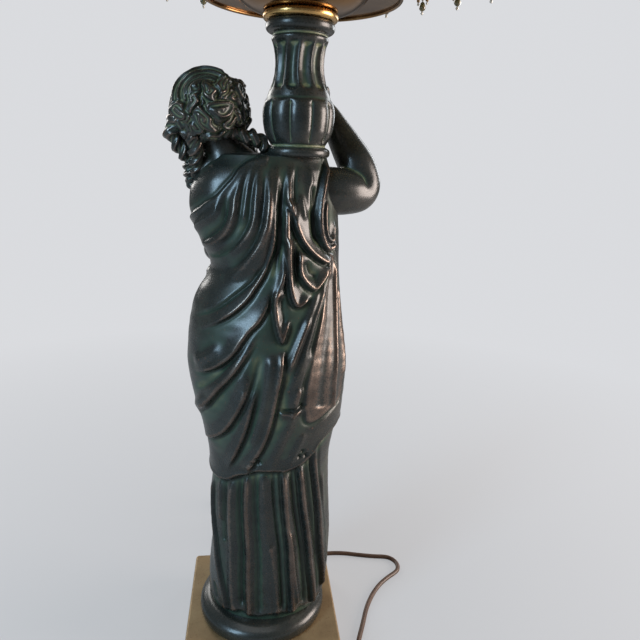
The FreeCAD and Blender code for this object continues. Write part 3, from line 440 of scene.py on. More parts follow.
class Drapery:
    """A sheet of columns and rows wrapped round the figure, with a depth at each point."""

    def __init__(self, columns, heights, levels):
        self.columns, self.heights = columns, np.asarray(heights, dtype=float)
        at, *columns_of = np.asarray(levels, dtype=float).T
        even = np.ones(2 * LEVEL_BLUR + 1) / (2 * LEVEL_BLUR + 1)
        self.low, self.high, self.back, self.front = (
            np.convolve(np.pad(np.interp(self.heights, at, values), LEVEL_BLUR, mode="edge"), even,
                        "valid") for values in columns_of)
        self.angle = np.linspace(-math.pi, math.pi, columns, endpoint=False)
        self.grid_u, self.grid_z = np.meshgrid(self.angle * TURN, self.heights)
        other = np.where(self.angle > 0, math.pi - self.angle, -math.pi - self.angle)
        self.front_u = np.tile(other * TURN, (len(self.heights), 1))
        self.depth = np.zeros_like(self.grid_z)
        self.sheen_and_wear = np.zeros_like(self.grid_z)

    def along(self, points):
        """The points of a line on the sheet, as turn and height, with smooth corners."""
        points = np.asarray(points, dtype=float)
        middle = np.interp(points[:, 1], self.heights, (self.low + self.high) / 2)
        half = np.interp(points[:, 1], self.heights, (self.high - self.low) / 2)
        sine = np.clip((points[:, 0] - middle) / half, -0.999, 0.999)
        return smooth_line(np.stack([np.arcsin(sine) * TURN, points[:, 1]], axis=1), CORNER_STEPS)

    def nearest(self, line, reach, front):
        """The points within reach of a line: their indices, distances and shares of the way along
        it. A distance to the left is positive."""
        u = self.front_u if front else self.grid_u
        (left, down), (right, up) = line.min(axis=0) - reach, line.max(axis=0) + reach
        near = (u > left) & (u < right) & (self.grid_z > down) & (self.grid_z < up)
        spots = np.stack([u[near], self.grid_z[near]], axis=1)
        best = np.full(len(spots), 1e9)
        signed, share = np.zeros(len(spots)), np.zeros(len(spots))
        steps = np.linalg.norm(np.diff(line, axis=0), axis=1)
        begin = np.concatenate([[0], np.cumsum(steps)])
        for k, (a, b) in enumerate(zip(line, line[1:])):
            run = b - a
            t = np.clip(((spots - a) @ run) / max(run @ run, 1e-9), 0, 1)
            gap = spots - a - t[:, None] * run
            distance = np.hypot(gap[:, 0], gap[:, 1])
            closer = distance < best
            side = np.sign(run[0] * (spots[:, 1] - a[1]) - run[1] * (spots[:, 0] - a[0]))
            best = np.where(closer, distance, best)
            signed = np.where(closer, side * distance, signed)
            share = np.where(closer, (begin[k] + t * steps[k]) / begin[-1], share)
        return near, signed, share

    def fold(self, lift, width, cliff, *points, front=False, ends=(0.12, 0.12)):
        """A ridge, or a groove where lift is negative. With cliff 1 or -1 its left or right side
        falls sheer. Ends are the shares of its length over which it rises and dies away."""
        line = self.along(points)
        near, signed, share = self.nearest(line, 4 * width + 4, front)
        window = np.clip(share / ends[0], 0, 1) * np.clip((1 - share) / ends[1], 0, 1)
        window = window * window * (3 - 2 * window)
        if cliff:
            signed = signed * -cliff
            slope = np.exp(-np.abs(signed / (2.2 * width)) ** 1.5)
            undercut = -0.45 * stroke(signed, *UNDERCUT) * (signed < -0.4)
            shape = np.where(signed > 0, slope, stroke(signed, *SHEER_FALL) + undercut)
        else:
            shape = np.exp(-np.abs(signed / width) ** 1.7)
        self.depth[near] += lift * window * shape

    def folds(self, rows, scale=1, **settings):
        """A fold for each row of lift, width, cliff and points, with every lift scaled."""
        for lift, *row in rows:
            self.fold(scale * lift, *row, **settings)

    def layer(self, outline, lift, edge=0.7, front=False, swell=0.0, hides=0.0, sheen_and_wear=0.0):
        """Raises the cloth inside a closed outline, with a sheer edge and a lip along it. It hides
        the folds under it, and its last setting paints it lighter and warmer, as a sheen."""
        line = self.along(list(outline) + [outline[0]])
        near, signed, _ = self.nearest(line, LAYER_REACH, front)
        u = (self.front_u if front else self.grid_u)[near]
        z = self.grid_z[near]
        inside = np.zeros(len(u), dtype=bool)
        for (u_a, z_a), (u_b, z_b) in zip(line, np.roll(line, -1, axis=0)):
            crosses = (z_a > z) != (z_b > z)
            inside ^= crosses & (u < (u_b - u_a) * (z - z_a) / (z_b - z_a + 1e-12) + u_a)
        gap = np.where(inside, np.abs(signed), -np.abs(signed))
        cover = cover_of(gap, edge)
        self.depth[near] *= 1 - hides * cover
        # Painted sheen: a lighter, warmer patch over the layer.
        self.sheen_and_wear[near] = np.maximum(self.sheen_and_wear[near], sheen_and_wear * cover)
        self.depth[near] += (lift * cover + swell * stroke(gap, *LAYER_LIP)
                             - 0.35 * lift * stroke(gap, *LAYER_UNDER))

    def hem(self, back, front, lift, edge=0.8, swell=0.5, hides=0.0):
        """Raises the cloth above a hem that goes all the way round, given as points on the back
        and on the front."""
        behind, ahead = self.along(back), self.along(front)
        ahead[:, 0] = np.sign(ahead[:, 0]) * math.pi * TURN - ahead[:, 0]
        line_u, line_z = np.concatenate([behind, ahead]).T
        order = np.argsort(line_u)
        hem = np.interp(self.angle * TURN, line_u[order], line_z[order], period=2 * math.pi * TURN)
        slope = np.gradient(hem, self.angle[1] * TURN - self.angle[0] * TURN)
        gap = (self.grid_z - hem) / np.sqrt(1 + slope ** 2)
        cover = cover_of(gap, edge)
        self.depth *= 1 - hides * np.maximum(cover, 0.6 * stroke(gap, *HEM_TUCK))
        self.depth += lift * cover
        self.depth += swell * stroke(gap, *HEM_LIP) - 0.18 * lift * stroke(gap, *HEM_UNDER)

    def bulge(self, x, z, lift, width, tall, front=False):
        """A soft swelling, such as a hip, knee or breast under the cloth."""
        spot = self.along([(x, z), (x, z + 1)])[0]
        u = self.front_u if front else self.grid_u
        self.depth += lift * np.exp(-((u - spot[0]) / width) ** 2 - ((self.grid_z - z) / tall) ** 2)

    def ripple(self, seed, size, lift):
        """The unevenness of a hand-made pattern."""
        random = np.random.default_rng(seed)
        waves = 24
        total = np.zeros_like(self.depth)
        for _ in range(waves):
            turns = random.integers(1, size)
            rise = random.uniform(-0.06, 0.06) * size
            phase = turns * self.grid_u / TURN + rise * self.grid_z + random.uniform(0, 7)
            total += np.sin(phase) / waves ** 0.5
        self.depth += lift * total

    def soften(self, field, times, reach=1):
        """A blur that goes round the figure, and stops at the top and bottom."""
        for _ in range(times):
            field = (np.roll(field, reach, axis=1) + 2 * field + np.roll(field, -reach, axis=1)) / 4
            above = np.vstack([field[reach:], np.repeat(field[-1:], reach, axis=0)])
            below = np.vstack([np.repeat(field[:1], reach, axis=0), field[:-reach]])
            field = (above + 2 * field + below) / 4
        return field

    def points(self):
        """Each point's place in millimetres."""
        cosine, sine = np.cos(self.angle), np.sin(self.angle)
        rows = []
        for row, z in enumerate(self.heights):
            half = (self.high[row] - self.low[row]) / 2
            deep = np.where(cosine > 0, self.back[row], self.front[row])
            normal_x, normal_y = sine * deep, cosine * half
            length = np.hypot(normal_x, normal_y)
            out = self.depth[row]
            x = (self.low[row] + self.high[row]) / 2 + half * sine + out * normal_x / length
            y = deep * cosine + out * normal_y / length
            rows.append(np.stack([x, y, np.full_like(x, z)], axis=1))
        return np.asarray(rows)

    def finish(self):
        """Smooths the carving once, and finds its creases, which get painted shade, its hollows and
        its high spots that show wear, by how far a point lies above or below the cloth round it at
        three sizes. A layer's painted sheen is added to that wear."""
        self.depth = self.soften(self.depth, 1)
        crease, relief, wide = (self.depth - self.soften(self.depth, times, reach)
                                for times, reach in ((3, 1), (6, 2), (8, 4)))
        # Painted shade: the deepest creases, marked to be darkened in the shader.
        self.crease_shade = 0.85 * self.soften(np.clip(-crease / CREASE_SHADE_DEPTH - 0.15, 0, 1), 2)
        self.hollow = np.clip(-wide / HOLLOW_DEPTH, 0, 1) * (1 - self.crease_shade) * (1 - self.sheen_and_wear)
        above_skirt = np.clip((self.grid_z - 150) / 30, 0, 1)
        self.hollow *= 0.7 + 0.3 * above_skirt
        # Wear on the high folds, with the layers' painted sheen added.
        self.rubbed_and_sheen = np.clip(relief / RUBBED_HEIGHT + self.sheen_and_wear, 0, 1)
        self.grid = self.points()

    def piece(self, name, low, high, crown=0.0):
        """The closed casting between two heights, with a flat underside and a top that domes by
        crown. Its rims are sharp edges."""
        kept = np.flatnonzero((self.heights >= low - 1e-6) & (self.heights <= high + 1e-6))
        rows = list(self.grid[kept])
        masks = np.stack([self.hollow, self.rubbed_and_sheen, self.crease_shade])[:, kept]
        top, bottom = rows[-1], rows[0]
        for share in TOP_RINGS:
            ring = top.mean(axis=0) + (top - top.mean(axis=0)) * share
            ring[:, 2] = top[:, 2] + crown * math.sqrt(1 - share ** 2)
            rows.append(ring)
        for share in FOOT_RINGS:
            rows.insert(0, bottom.mean(axis=0) + (bottom - bottom.mean(axis=0)) * share)
        masks = np.pad(masks, ((0, 0), (len(FOOT_RINGS), len(TOP_RINGS)), (0, 0)))
        faces = [face[::-1] for face in grid_faces(len(rows), self.columns)]
        piece = add_piece(name, np.concatenate(rows), faces, patina,
                          masks=dict(zip(MASKS, masks.reshape(len(MASKS), -1))))
        row_of = read_all(piece.data.edges, "vertices", 2, int) // self.columns
        rims = (len(FOOT_RINGS), len(rows) - len(TOP_RINGS) - 1)
        sharp = (row_of[:, 0] == row_of[:, 1]) & np.isin(row_of[:, 0], rims)
        piece.data.attributes.new("sharp_edge", "BOOLEAN", "EDGE").data.foreach_set("value", sharp)
        return piece


# ==== Skirt and mantle ===========================================================================
# The draped body is two hollow castings that meet in a seam. Over a long pleated skirt hangs a
# mantle, gathered at the left waist, with swags under the urn and a straight panel down the right
# side.

SEAM_Z, SKIRT_FOOT, SHOULDER_Z = 178.0, 40.0, 387.0
CLOTH_COLUMNS, SKIRT_ROWS, MANTLE_ROWS = 340, 150, 258

# Height, left and right edge as seen from the back, and depth behind and in front, of each oval
LEVELS = (
    (40, -48.5, 41.5, 37.5, 37.5), (66, -52, 41.5, 36.5, 36.5), (100, -52.5, 38, 35.5, 35.5),
    (138, -50, 38, 35, 35), (165, -49, 37.5, 35, 35.5), (178, -50.5, 38.5, 36, 36.5),
    (198, -55, 43, 38.5, 38.5), (223, -57, 49.5, 40, 40), (243, -57.5, 52.5, 40.5, 40.5),
    (270, -53.5, 50.5, 39, 39), (292, -51, 46, 37, 37), (312, -49, 32.5, 34, 34),
    (330, -48.5, 41, 34, 34), (350, -47, 48, 34.5, 34.5), (362, -45, 48, 31.5, 31.5),
    (370, -43.5, 45.5, 29.5, 29.5), (377, -41.5, 41.5, 26.5, 26.5), (382, -40, 37.5, 24.5, 24.5),
    (385.5, -38.5, 33, 22, 22), (387, -36.5, 29, 19.5, 19.5),
)
lower = np.linspace(SKIRT_FOOT, SEAM_Z, SKIRT_ROWS)
upper = np.linspace(SEAM_Z, SHOULDER_Z, MANTLE_ROWS)
cloth = Drapery(CLOTH_COLUMNS, np.concatenate([lower, upper[1:]]), LEVELS)

# Skirt pleats: crests and grooves on the back, both on the front, and a knee. A row has a fold's
# lift, width and cliff, and then its points.
cloth.folds((
    (3, 2.4, 0, (12, 180), (12, 130), (10.5, 90), (10, 41)),
    (1.6, 3, 0, (1, 180), (-1, 130), (-4, 80), (-6, 41)),
    (3.6, 2.2, 1, (-12, 184), (-15, 130), (-18.5, 85), (-21, 41)),
    (1.8, 2, 0, (-5, 110), (-8, 80), (-11, 41)),
    (3.6, 2.4, 1, (-24, 188), (-28, 130), (-33.5, 85), (-37.5, 41)),
    (3.2, 2.6, 1, (-34, 194), (-38, 140), (-42, 95), (-45, 50)),
    (2.6, 3.6, 0, (23, 176), (23.5, 120), (23, 80), (21, 41)),
    (2.2, 3.4, -1, (36, 150), (36.5, 118), (34, 88), (29.5, 60), (27, 41)),
    (1.8, 3.2, 0, (32, 172), (31, 150), (31, 118)),
    (1.8, 1.6, 0, (-18, 120), (-22, 85), (-26, 50)),
    (1.2, 2.8, 0, (-42, 160), (-45, 110), (-48, 70)),
), scale=1.15, ends=(0.1, 0.05))
cloth.folds((
    (2.4, 2.4, 0, (6.5, 180), (5.5, 120), (3, 44)),
    (2.8, 2.2, 0, (17.5, 178), (17.5, 120), (16, 50)),
    (2.4, 1.8, 0, (-6, 184), (-9, 130), (-15, 46)),
    (2.6, 1.6, 0, (-19, 186), (-23, 130), (-31, 46)),
    (2.4, 1.6, 0, (-29, 190), (-34, 130), (-41, 50)),
    (2.2, 2, 0, (28.5, 172), (28.5, 130), (29, 100)),
    (1.8, 1.6, 0, (-39, 192), (-43, 130), (-47, 60)),
    (1.6, 2, 0, (37, 60), (35, 48)),
), scale=-1, ends=(0.02, 0.05))
cloth.folds((
    (2.4, 3, 0, (-42, 192), (-44, 110), (-45, 45)),
    (2.8, 2.8, 0, (-33, 188), (-34, 110), (-36, 45)),
    (2.2, 2.4, 0, (-24, 190), (-25, 110), (-27, 45)),
    (3, 3, 0, (-15, 190), (-15, 110), (-17, 45)),
    (2.4, 2.4, 0, (-5, 190), (-4, 110), (-6, 45)),
    (2.4, 2.6, 0, (4, 100), (4, 45)),
    (2.2, 2.8, 0, (14, 96), (15, 45)),
    (2.6, 2.8, 0, (24, 105), (26, 45)),
    (2.6, 2.6, 0, (33, 190), (33, 110), (35, 45)),
    (-1.6, 1.4, 0, (-28.5, 160), (-29.5, 110), (-31, 48)),
    (-1.8, 1.4, 0, (-20, 160), (-20, 110), (-22, 48)),
    (-1.8, 1.6, 0, (-10, 160), (-9.5, 110), (-11.5, 48)),
    (-1.8, 1.6, 0, (29, 150), (29, 100), (30, 48)),
    (-1.4, 1.6, 0, (9, 92), (9.5, 48)),
    (-1.4, 1.6, 0, (20, 95), (21, 48)),
    (-1.4, 1.4, 0, (-1, 100), (-1, 48)),
), front=True, ends=(0.16, 0.05))
cloth.bulge(13, 128, 6.5, 13, 24, front=True)
cloth.fold(1.6, 2, 0, (26, 165), (24, 135), (16, 112), (6, 104), front=True)
cloth.fold(1.4, 2, 0, (-2, 158), (2, 132), (8, 110), front=True)

# The skirt's own hem, which lies on the socle in shallow scallops
hem_back = ((-50, 46), (-38, 43.5), (-27, 46.5), (-20, 43), (-9, 46.5), (3, 43.5), (11, 45),
            (19, 47), (28, 43), (40, 46))
hem_front = ((-46, 46), (-36, 43), (-30, 46), (-20, 43.5), (-10, 46.5), (0, 43), (10, 46),
             (20, 43.5), (32, 46), (38, 44))
cloth.hem(hem_back, hem_front, 1.6, edge=0.9, swell=0.4)

# The mantle's lower hem: one raised sheet with a lip, all the way round
over_back = ((-52, 197), (-49, 194), (-44, 191), (-38, 186), (-32, 177), (-24, 171.5), (-14, 168.5),
             (0, 169), (8, 167.5), (20, 161), (27, 156), (34, 155), (40, 158))
over_front = ((-50, 196), (-40, 184), (-30, 174), (-18, 169), (-6, 172), (6, 178), (18, 175),
              (30, 166), (38, 159))
cloth.hem(over_back, over_front, 3.6, edge=0.8, swell=0.8, hides=1.0)

# Two trefoils of punched dents above the hem
DENT_RING, DENT_DEPTH, DENT_R = 2.5, 3.2, 1.2
for x, z in ((5, 178), (-26, 181.5)):
    for angle in np.radians((90, 210, 330)):
        cloth.bulge(x + DENT_RING * math.cos(angle), z + DENT_RING * math.sin(angle),
                    -DENT_DEPTH, DENT_R, DENT_R)

# Long folds that fan out under the urn and sweep down in an S to the left waist and hip: crests,
# and then creases
cloth.folds((
    (2.8, 3, 0, (2, 386), (5.5, 370), (6.5, 360), (7, 351.5), (8.5, 344), (12, 336.5), (17, 330),
     (24, 323)),
    (2.6, 2.8, 0, (8, 385), (14.5, 372), (18.5, 360), (19, 352.5), (21.5, 344), (26, 336),
     (33, 330), (42, 327)),
    (2.2, 2.4, 0, (24, 366), (29, 356), (33, 349), (43, 335)),
    (1.4, 1.8, 0, (5, 386), (10.5, 370), (12.5, 357), (13.5, 349), (15.5, 342)),
    (3.8, 4.6, 0, (-4, 386), (-2, 366), (-1, 348), (1, 340), (4, 331.5), (8.5, 323), (14, 315),
     (20, 310), (27, 306)),
    (3.2, 2.8, -1, (-8, 386), (-6, 366), (-5, 345), (-4.5, 330), (-1, 318), (4, 306.5), (9, 298.5),
     (14.5, 292), (22, 285), (32, 278), (43, 271)),
    (3.8, 2.8, 0, (-15, 386), (-13, 362), (-12.3, 350), (-12, 340), (-12.8, 330), (-11, 312),
     (-6, 298), (-2, 288)),
    (3.4, 3, -1, (-6, 308), (-1, 292), (4, 282), (10, 275), (14.5, 268), (18.5, 261), (25, 253),
     (36, 245), (47, 240)),
    (3.4, 3.2, -1, (3, 276), (9, 264), (15, 253), (20.5, 244), (29, 232), (37, 218), (42, 210),
     (43, 200)),
    (3.4, 3.4, -1, (6, 256), (10, 238), (15, 221), (22, 205), (28, 196), (35, 189), (41, 184)),
    (3, 2.8, -1, (3, 246), (7, 226), (10, 210), (14, 194), (19, 179), (26, 163)),
    (1.6, 3.6, 0, (27, 266), (36, 256), (47, 247)),
    (1.6, 3, 0, (36, 226), (44, 214), (46, 205)),
    (1.8, 2, 0, (-20, 366), (-22, 355), (-23.5, 347)),
    (1.6, 2.6, 0, (-26, 384), (-27, 364), (-28, 350)),
), ends=(0.3, 0.25))
cloth.folds((
    (2.8, 1.3, 0, (-5, 384), (-4, 362), (-3.5, 348), (-2, 332), (0.5, 320), (4.5, 313), (8.5, 307),
     (14, 302), (20, 297), (25, 292.5), (31, 288), (39, 283), (46, 279)),
    (3, 1.5, 0, (-12, 384), (-9.5, 362), (-9, 350), (-9, 335), (-6.5, 320), (-2.5, 308)),
    (2.4, 1.4, 0, (0, 384), (1.5, 366), (2, 356), (3.5, 345), (6.5, 335), (11, 326), (17, 318.5),
     (24, 314)),
    (2, 1.1, 0, (5, 384), (8.5, 368), (9.5, 360), (10.5, 348), (14, 338), (20, 330), (30, 323),
     (40, 321)),
    (1.8, 1, 0, (11, 380), (14.5, 366), (16, 354), (18, 344), (23, 335), (31, 329)),
    (2.2, 1.2, 0, (23, 364), (25, 350), (29, 341), (38, 331)),
    (1.6, 2.2, 0, (17, 262), (25, 250), (35.5, 237), (47, 226)),
    (1.6, 2.4, 0, (2, 262), (7, 246), (11, 228)),
    (2.2, 1.3, 0, (-18, 384), (-16, 366), (-16.5, 352), (-14.5, 338)),
), scale=-0.9, ends=(0.3, 0.25))
cloth.fold(3.8, 2.2, -1, (-12, 266), (-10, 246), (-7.5, 228), (-5, 213), (-2.5, 201), (1, 190),
           (5.5, 179), (11, 168), ends=(0.15, 0.05))
cloth.fold(2.2, 2.4, 0, (-4, 262), (-2, 240), (1, 220), (4, 204), (8, 190))

# The mantle's edge from the urn's foot over the bare shoulder blade
MANTLE_EDGE = ((-1.5, 387), (9, 384), (15.5, 379.5), (20, 373), (24.5, 367.5), (30, 361), (36, 357),
               (41.5, 352), (47, 345))
cloth.fold(1.7, 2.4, 1, *MANTLE_EDGE, ends=(0.02, 0.02))
cloth.bulge(33, 372, 1.6, 10, 9)

# Swags under the urn, each a rounded fold that overhangs the one below it
cloth.folds((
    (4.2, 2.2, 1, (-36, 386), (-34.5, 375), (-32.5, 362), (-31.7, 352), (-32.3, 342), (-34, 335),
     (-36.5, 329.5), (-39.5, 327), (-42.3, 330), (-43.6, 338)),
    (2.6, 1.4, 1, (-35.5, 362), (-34.8, 349), (-36, 340), (-38.3, 334.5), (-40.8, 333.5),
     (-42.5, 338), (-43.2, 346)),
    (4.2, 2.2, 1, (-12, 362), (-15.5, 352), (-17, 345), (-21, 335.5), (-26, 328.5), (-31, 323.5),
     (-36.5, 319.5), (-39.5, 320), (-42, 325)),
    (3.6, 2, 1, (-20, 330), (-20, 319), (-21, 313), (-24, 307.5), (-27, 304), (-30.5, 302),
     (-33.5, 304.5), (-38, 311), (-42, 318)),
    (3.6, 2, 1, (-12.5, 338), (-14, 316.5), (-14.5, 307), (-15.5, 299.5), (-17.3, 294),
     (-19.7, 291.5), (-24, 294), (-29, 299)),
    (3, 1.9, 1, (-6, 304), (-5.7, 286), (-7, 277.5), (-9, 270.5), (-10.5, 267.5), (-12.5, 273),
     (-15, 284)),
), ends=(0.1, 0.12))
cloth.folds((
    (3.2, 2.2, 0, (-28, 372), (-28.5, 352), (-30, 338), (-34, 330)),
    (2.4, 1.6, 0, (-17.5, 335), (-18, 318), (-18.5, 303)),
    (2, 2.4, 0, (-24, 322), (-27, 313), (-33, 310)),
    (2, 1.7, 0, (-9.5, 300), (-10, 288), (-11, 278)),
), scale=-1, ends=(0.15, 0.2))

# Straight folds between the hip and the panel
cloth.folds((
    (2.8, 2.4, 0, (-41, 312), (-36, 297), (-31, 283), (-27, 268), (-22, 250), (-17, 236),
     (-12, 222)),
    (2.4, 2, 0, (-34, 303), (-28, 287), (-22, 270), (-17, 254), (-13, 240)),
    (2, 1.8, 0, (-27, 285), (-21, 268), (-16, 254), (-12, 243)),
    (2.2, 2.2, 0, (-30, 262), (-25, 246), (-20, 232), (-14, 216)),
    (2.2, 2.2, 0, (-24, 236), (-20, 222), (-17, 207)),
    (1.6, 1.6, 0, (-10, 262), (-10, 246), (-7, 232)),
    (1.6, 2.6, 0, (-19, 212), (-12, 196), (-6, 178), (-4, 166)),
    (1.4, 2.6, 0, (-27, 200), (-22, 188), (-16, 172)),
), ends=(0.15, 0.25))
cloth.fold(2.6, 1.7, 1, (-27, 221), (-18, 217), (-8, 218), ends=(0.1, 0.2))

# The straight panel down the right side, with one long ridge. It is painted lighter and warmer,
# as a sheen.
PANEL = ((-40, 326), (-39.5, 306), (-36, 283), (-31.5, 262), (-28.5, 245), (-26.5, 228),
         (-26.5, 216), (-28, 208), (-34, 207), (-42, 211), (-48, 215), (-52, 218), (-54, 234),
         (-52, 270), (-46.5, 305), (-43.5, 322))
cloth.layer(PANEL, 3.6, edge=0.7, swell=0.5, hides=0.95, sheen_and_wear=0.95)
cloth.folds((
    (2.2, 1.5, 0, (-44, 318), (-45.5, 290), (-47, 262), (-47, 235), (-46.5, 212)),
    (-1.2, 4, 0, (-41, 312), (-41, 280), (-39, 250), (-37, 216)),
    (1.4, 3.5, 0, (-47, 300), (-52, 262), (-54, 235)),
), ends=(0.06, 0.03))

# Front: the body under the gown, a bare right shoulder, and folds drawn to the left hip and hand
cloth.bulge(18, 341, 6.5, 12, 12, front=True)
cloth.bulge(-17, 342, 6.0, 12, 12, front=True)
cloth.bulge(0, 262, 3.0, 26, 26, front=True)
cloth.fold(2.6, 1.9, 1, (-30, 386), (-22, 372), (-8, 360), (8, 356), (24, 360), (36, 372),
           (40, 382), front=True, ends=(0.05, 0.05))
cloth.folds((
    (1.8, 2.2, 0, (-30, 368), (-24, 352), (-10, 342), (4, 343), (14, 350)),
    (2.4, 2.4, -1, (-40, 358), (-32, 338), (-14, 325), (8, 324)),
    (2.2, 2.2, 0, (38, 366), (33, 350), (24, 336), (14, 326)),
    (2, 2, 0, (45, 346), (38, 334), (28, 324), (16, 320)),
    (1.4, 2, 0, (-26, 374), (-25, 356), (-21, 340)),
    (1.4, 2, 0, (8, 356), (5, 342), (7, 328)),
    (3, 3.2, -1, (-46, 330), (-34, 306), (-12, 298), (14, 313)),
    (3.4, 3.8, -1, (-50, 304), (-38, 276), (-14, 268), (6, 290), (13, 310)),
    (3.8, 4.2, -1, (-53, 268), (-44, 238), (-20, 228), (2, 256), (10, 286)),
    (3.4, 4, -1, (-54, 226), (-44, 204), (-22, 196), (-3, 216), (4, 240)),
    (1.4, 3, 0, (-44, 290), (-36, 262), (-30, 240), (-31, 214)),
    (2.2, 2.2, 0, (44, 304), (36, 308), (26, 314), (14, 318)),
    (2.6, 2.8, -1, (48, 278), (38, 284), (26, 298), (17, 312)),
    (3, 3.2, -1, (50, 240), (40, 250), (30, 272), (21, 296)),
    (2.6, 3, -1, (44, 196), (38, 214), (31, 240)),
), front=True)
cloth.folds((
    (1.8, 1.6, 0, (-44, 346), (-32, 326), (-12, 314), (10, 316)),
    (2.2, 1.8, 0, (-50, 286), (-40, 256), (-16, 248), (4, 274)),
    (2.2, 2, 0, (-54, 246), (-44, 220), (-20, 212), (0, 234)),
    (1.8, 1.6, 0, (49, 260), (39, 268), (27, 286)),
    (1.8, 1.8, 0, (47, 218), (38, 234), (30, 258)),
), scale=-1, front=True)

# The gathered fall of cloth under the left hand, in zigzag ends
FALL = ((1, 318), (14, 320), (22, 300), (25, 270), (26, 236), (20, 222), (15, 230), (10, 214),
        (5, 224), (0, 212), (-4, 224), (-5, 250), (-4, 285))
cloth.layer(FALL, 3.4, edge=0.9, front=True, swell=0.6, hides=0.8)
cloth.folds((
    (2.4, 1.9, 0, (6, 318), (3, 290), (0, 250), (0, 214)),
    (2.6, 2, 0, (9, 318), (10, 285), (10, 250), (10, 216)),
    (2.4, 1.9, 0, (13, 318), (17, 290), (20, 255), (20, 224)),
    (-2, 1.3, 0, (7.5, 310), (6, 270), (5, 226)),
    (-2, 1.3, 0, (11, 310), (14, 270), (15, 232)),
), front=True, ends=(0.05, 0.02))

cloth.ripple(7, 14, 0.07)
cloth.finish()
skirt = cloth.piece("skirt", SKIRT_FOOT, SEAM_Z)
mantle = cloth.piece("mantle", SEAM_Z, SHOULDER_Z, crown=2.2)
for piece, cast in ((skirt, "figure_skirt"), (mantle, "figure_torso")):
    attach(piece, "stand")
    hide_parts(cast)


# ==== Urn and socle ==============================================================================
# Turned and chased castings: the urn on the shoulder has lobes round its bowl and flutes up its
# neck, and the socle is a plain rounded drum. Both have the same patina as the figure.

def turned_piece(name, profile, material, rows, columns=240, carve=None, at=(AXIS_X, AXIS_Y)):
    """A piece of revolution from (radius, height) points, smoothed, with its radius carved."""
    profile = np.asarray(profile, dtype=float)
    steps = np.concatenate([[0], np.cumsum(np.linalg.norm(np.diff(profile, axis=0), axis=1))])
    along = np.linspace(0, steps[-1], rows)
    radius, height = (np.interp(along, steps, values) for values in profile.T)
    for _ in range(3):
        for line in (radius, height):
            line[1:-1] = (line[:-2] + 2 * line[1:-1] + line[2:]) / 4
    angle = np.linspace(0, 2 * math.pi, columns, endpoint=False)
    grid_a, grid_r = np.meshgrid(angle, radius)
    grid_h = np.tile(height[:, None], (1, columns))
    if carve is not None:
        grid_r = grid_r + carve(grid_a, grid_h)
    points = np.stack([at[0] + grid_r * np.cos(grid_a), at[1] + grid_r * np.sin(grid_a), grid_h], 2)
    return add_piece(name, points.reshape(-1, 3), grid_faces(rows, columns), material)


URN_Z, URN_H = 387.0, 75.0
BOWL_LOBES, NECK_FLUTES = 10, 12


def urn_carving(angle, height):
    """Lobes that bulge round the bowl, and flutes with rounded lower ends up the neck."""
    share = (height - URN_Z) / URN_H
    lobe = np.abs(np.sin(BOWL_LOBES / 2 * angle)) ** 0.55 - 1
    bowl = 2.1 * lobe * ease(share, 0.105, 0.16) * (1 - ease(share, 0.43, 0.475))
    crest = np.abs(np.sin(NECK_FLUTES / 2 * (angle + 0.13 * np.sin(7 * (share - 0.5)))))
    low_end = 0.535 + 0.05 * (1 - crest) ** 2
    neck = -2.0 * crest ** 1.3 * ease(share, low_end, low_end + 0.05) * (1 - ease(share, 0.9, 0.94))
    return bowl + neck


urn = turned_piece("urn", (
    (0.5, 387), (20, 387), (21.2, 388.2), (21.6, 390.2), (21, 392.2), (19.2, 393), (17.6, 394),
    (18.6, 395.2), (21, 398.5), (22.8, 402.5), (23.8, 408), (24.2, 413), (24, 417), (22.9, 421),
    (21.6, 422.4), (20.9, 423.2), (20.6, 424.5), (19.4, 428), (17.6, 433), (16.2, 439), (15.8, 444),
    (16, 449), (16.8, 454), (17.8, 457.4), (18.4, 458.3), (18.3, 459.6), (17, 460.4), (17.4, 461.4),
    (18.6, 462), (0.5, 462),
), patina, rows=210, carve=urn_carving)
urn_ring = turned_piece("urn_ring", (
    (5.2, 462), (18.9, 462), (19.6, 462.3), (20.9, 462.9), (21.8, 464), (22.1, 465.5), (22, 467),
    (21.5, 468.3), (21, 469), (5.2, 469),
), patina, rows=90)
socle = turned_piece("socle", (
    (0.5, 26), (49.2, 26), (50.6, 27.2), (51, 29.4), (50.9, 33), (50, 35.6), (47.8, 37.6),
    (45.6, 38.6), (44.8, 39.3), (44.2, 40), (0.5, 40),
), patina, rows=110, at=(0.0, 0.0))
for piece, cast, rounds, hollow_at, rubbed_at in (
    (urn, "shoulder_urn", 14, 0.17, 0.4), (urn_ring, "neck_ring", 10, 0.09, 0.3),
    (socle, "figure_socle", 10, 0.3, 0.5),
):
    wear(piece, rounds, hollow_at, rubbed_at)
    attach(piece, "stand")
    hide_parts(cast)


# ==== Head, hair and neck ========================================================================
# Cast with the figure: the head leans to its left and turns to the urn. Combed strands go over the
# crown, short curls cover the rest, and four ringlets fall beside the neck. The face is a calm one.

HEAD_AT = np.array((36.5, 1.0, 415.0))
HEAD_LEAN = math.radians(16)
POLE_GAP = 0.01
face_way = unit(np.array((-0.30, -0.95, -0.08)))
head_up = np.array((math.sin(HEAD_LEAN), 0.0, math.cos(HEAD_LEAN)))
head_up = unit(head_up - head_up @ face_way * face_way)
head_left = np.cross(head_up, face_way)

HEAD_COLUMNS, HEAD_ROWS = 384, 230
turn_grid, rise_grid = np.meshgrid(
    np.linspace(-math.pi, math.pi, HEAD_COLUMNS, endpoint=False),
    np.linspace(-math.pi / 2 + POLE_GAP, math.pi / 2 - POLE_GAP, HEAD_ROWS))
left_part = np.cos(rise_grid) * np.sin(turn_grid)
up_part = np.sin(rise_grid)
front_part = np.cos(rise_grid) * np.cos(turn_grid)
out_way = (left_part[..., None] * head_left + up_part[..., None] * head_up
           + front_part[..., None] * face_way)


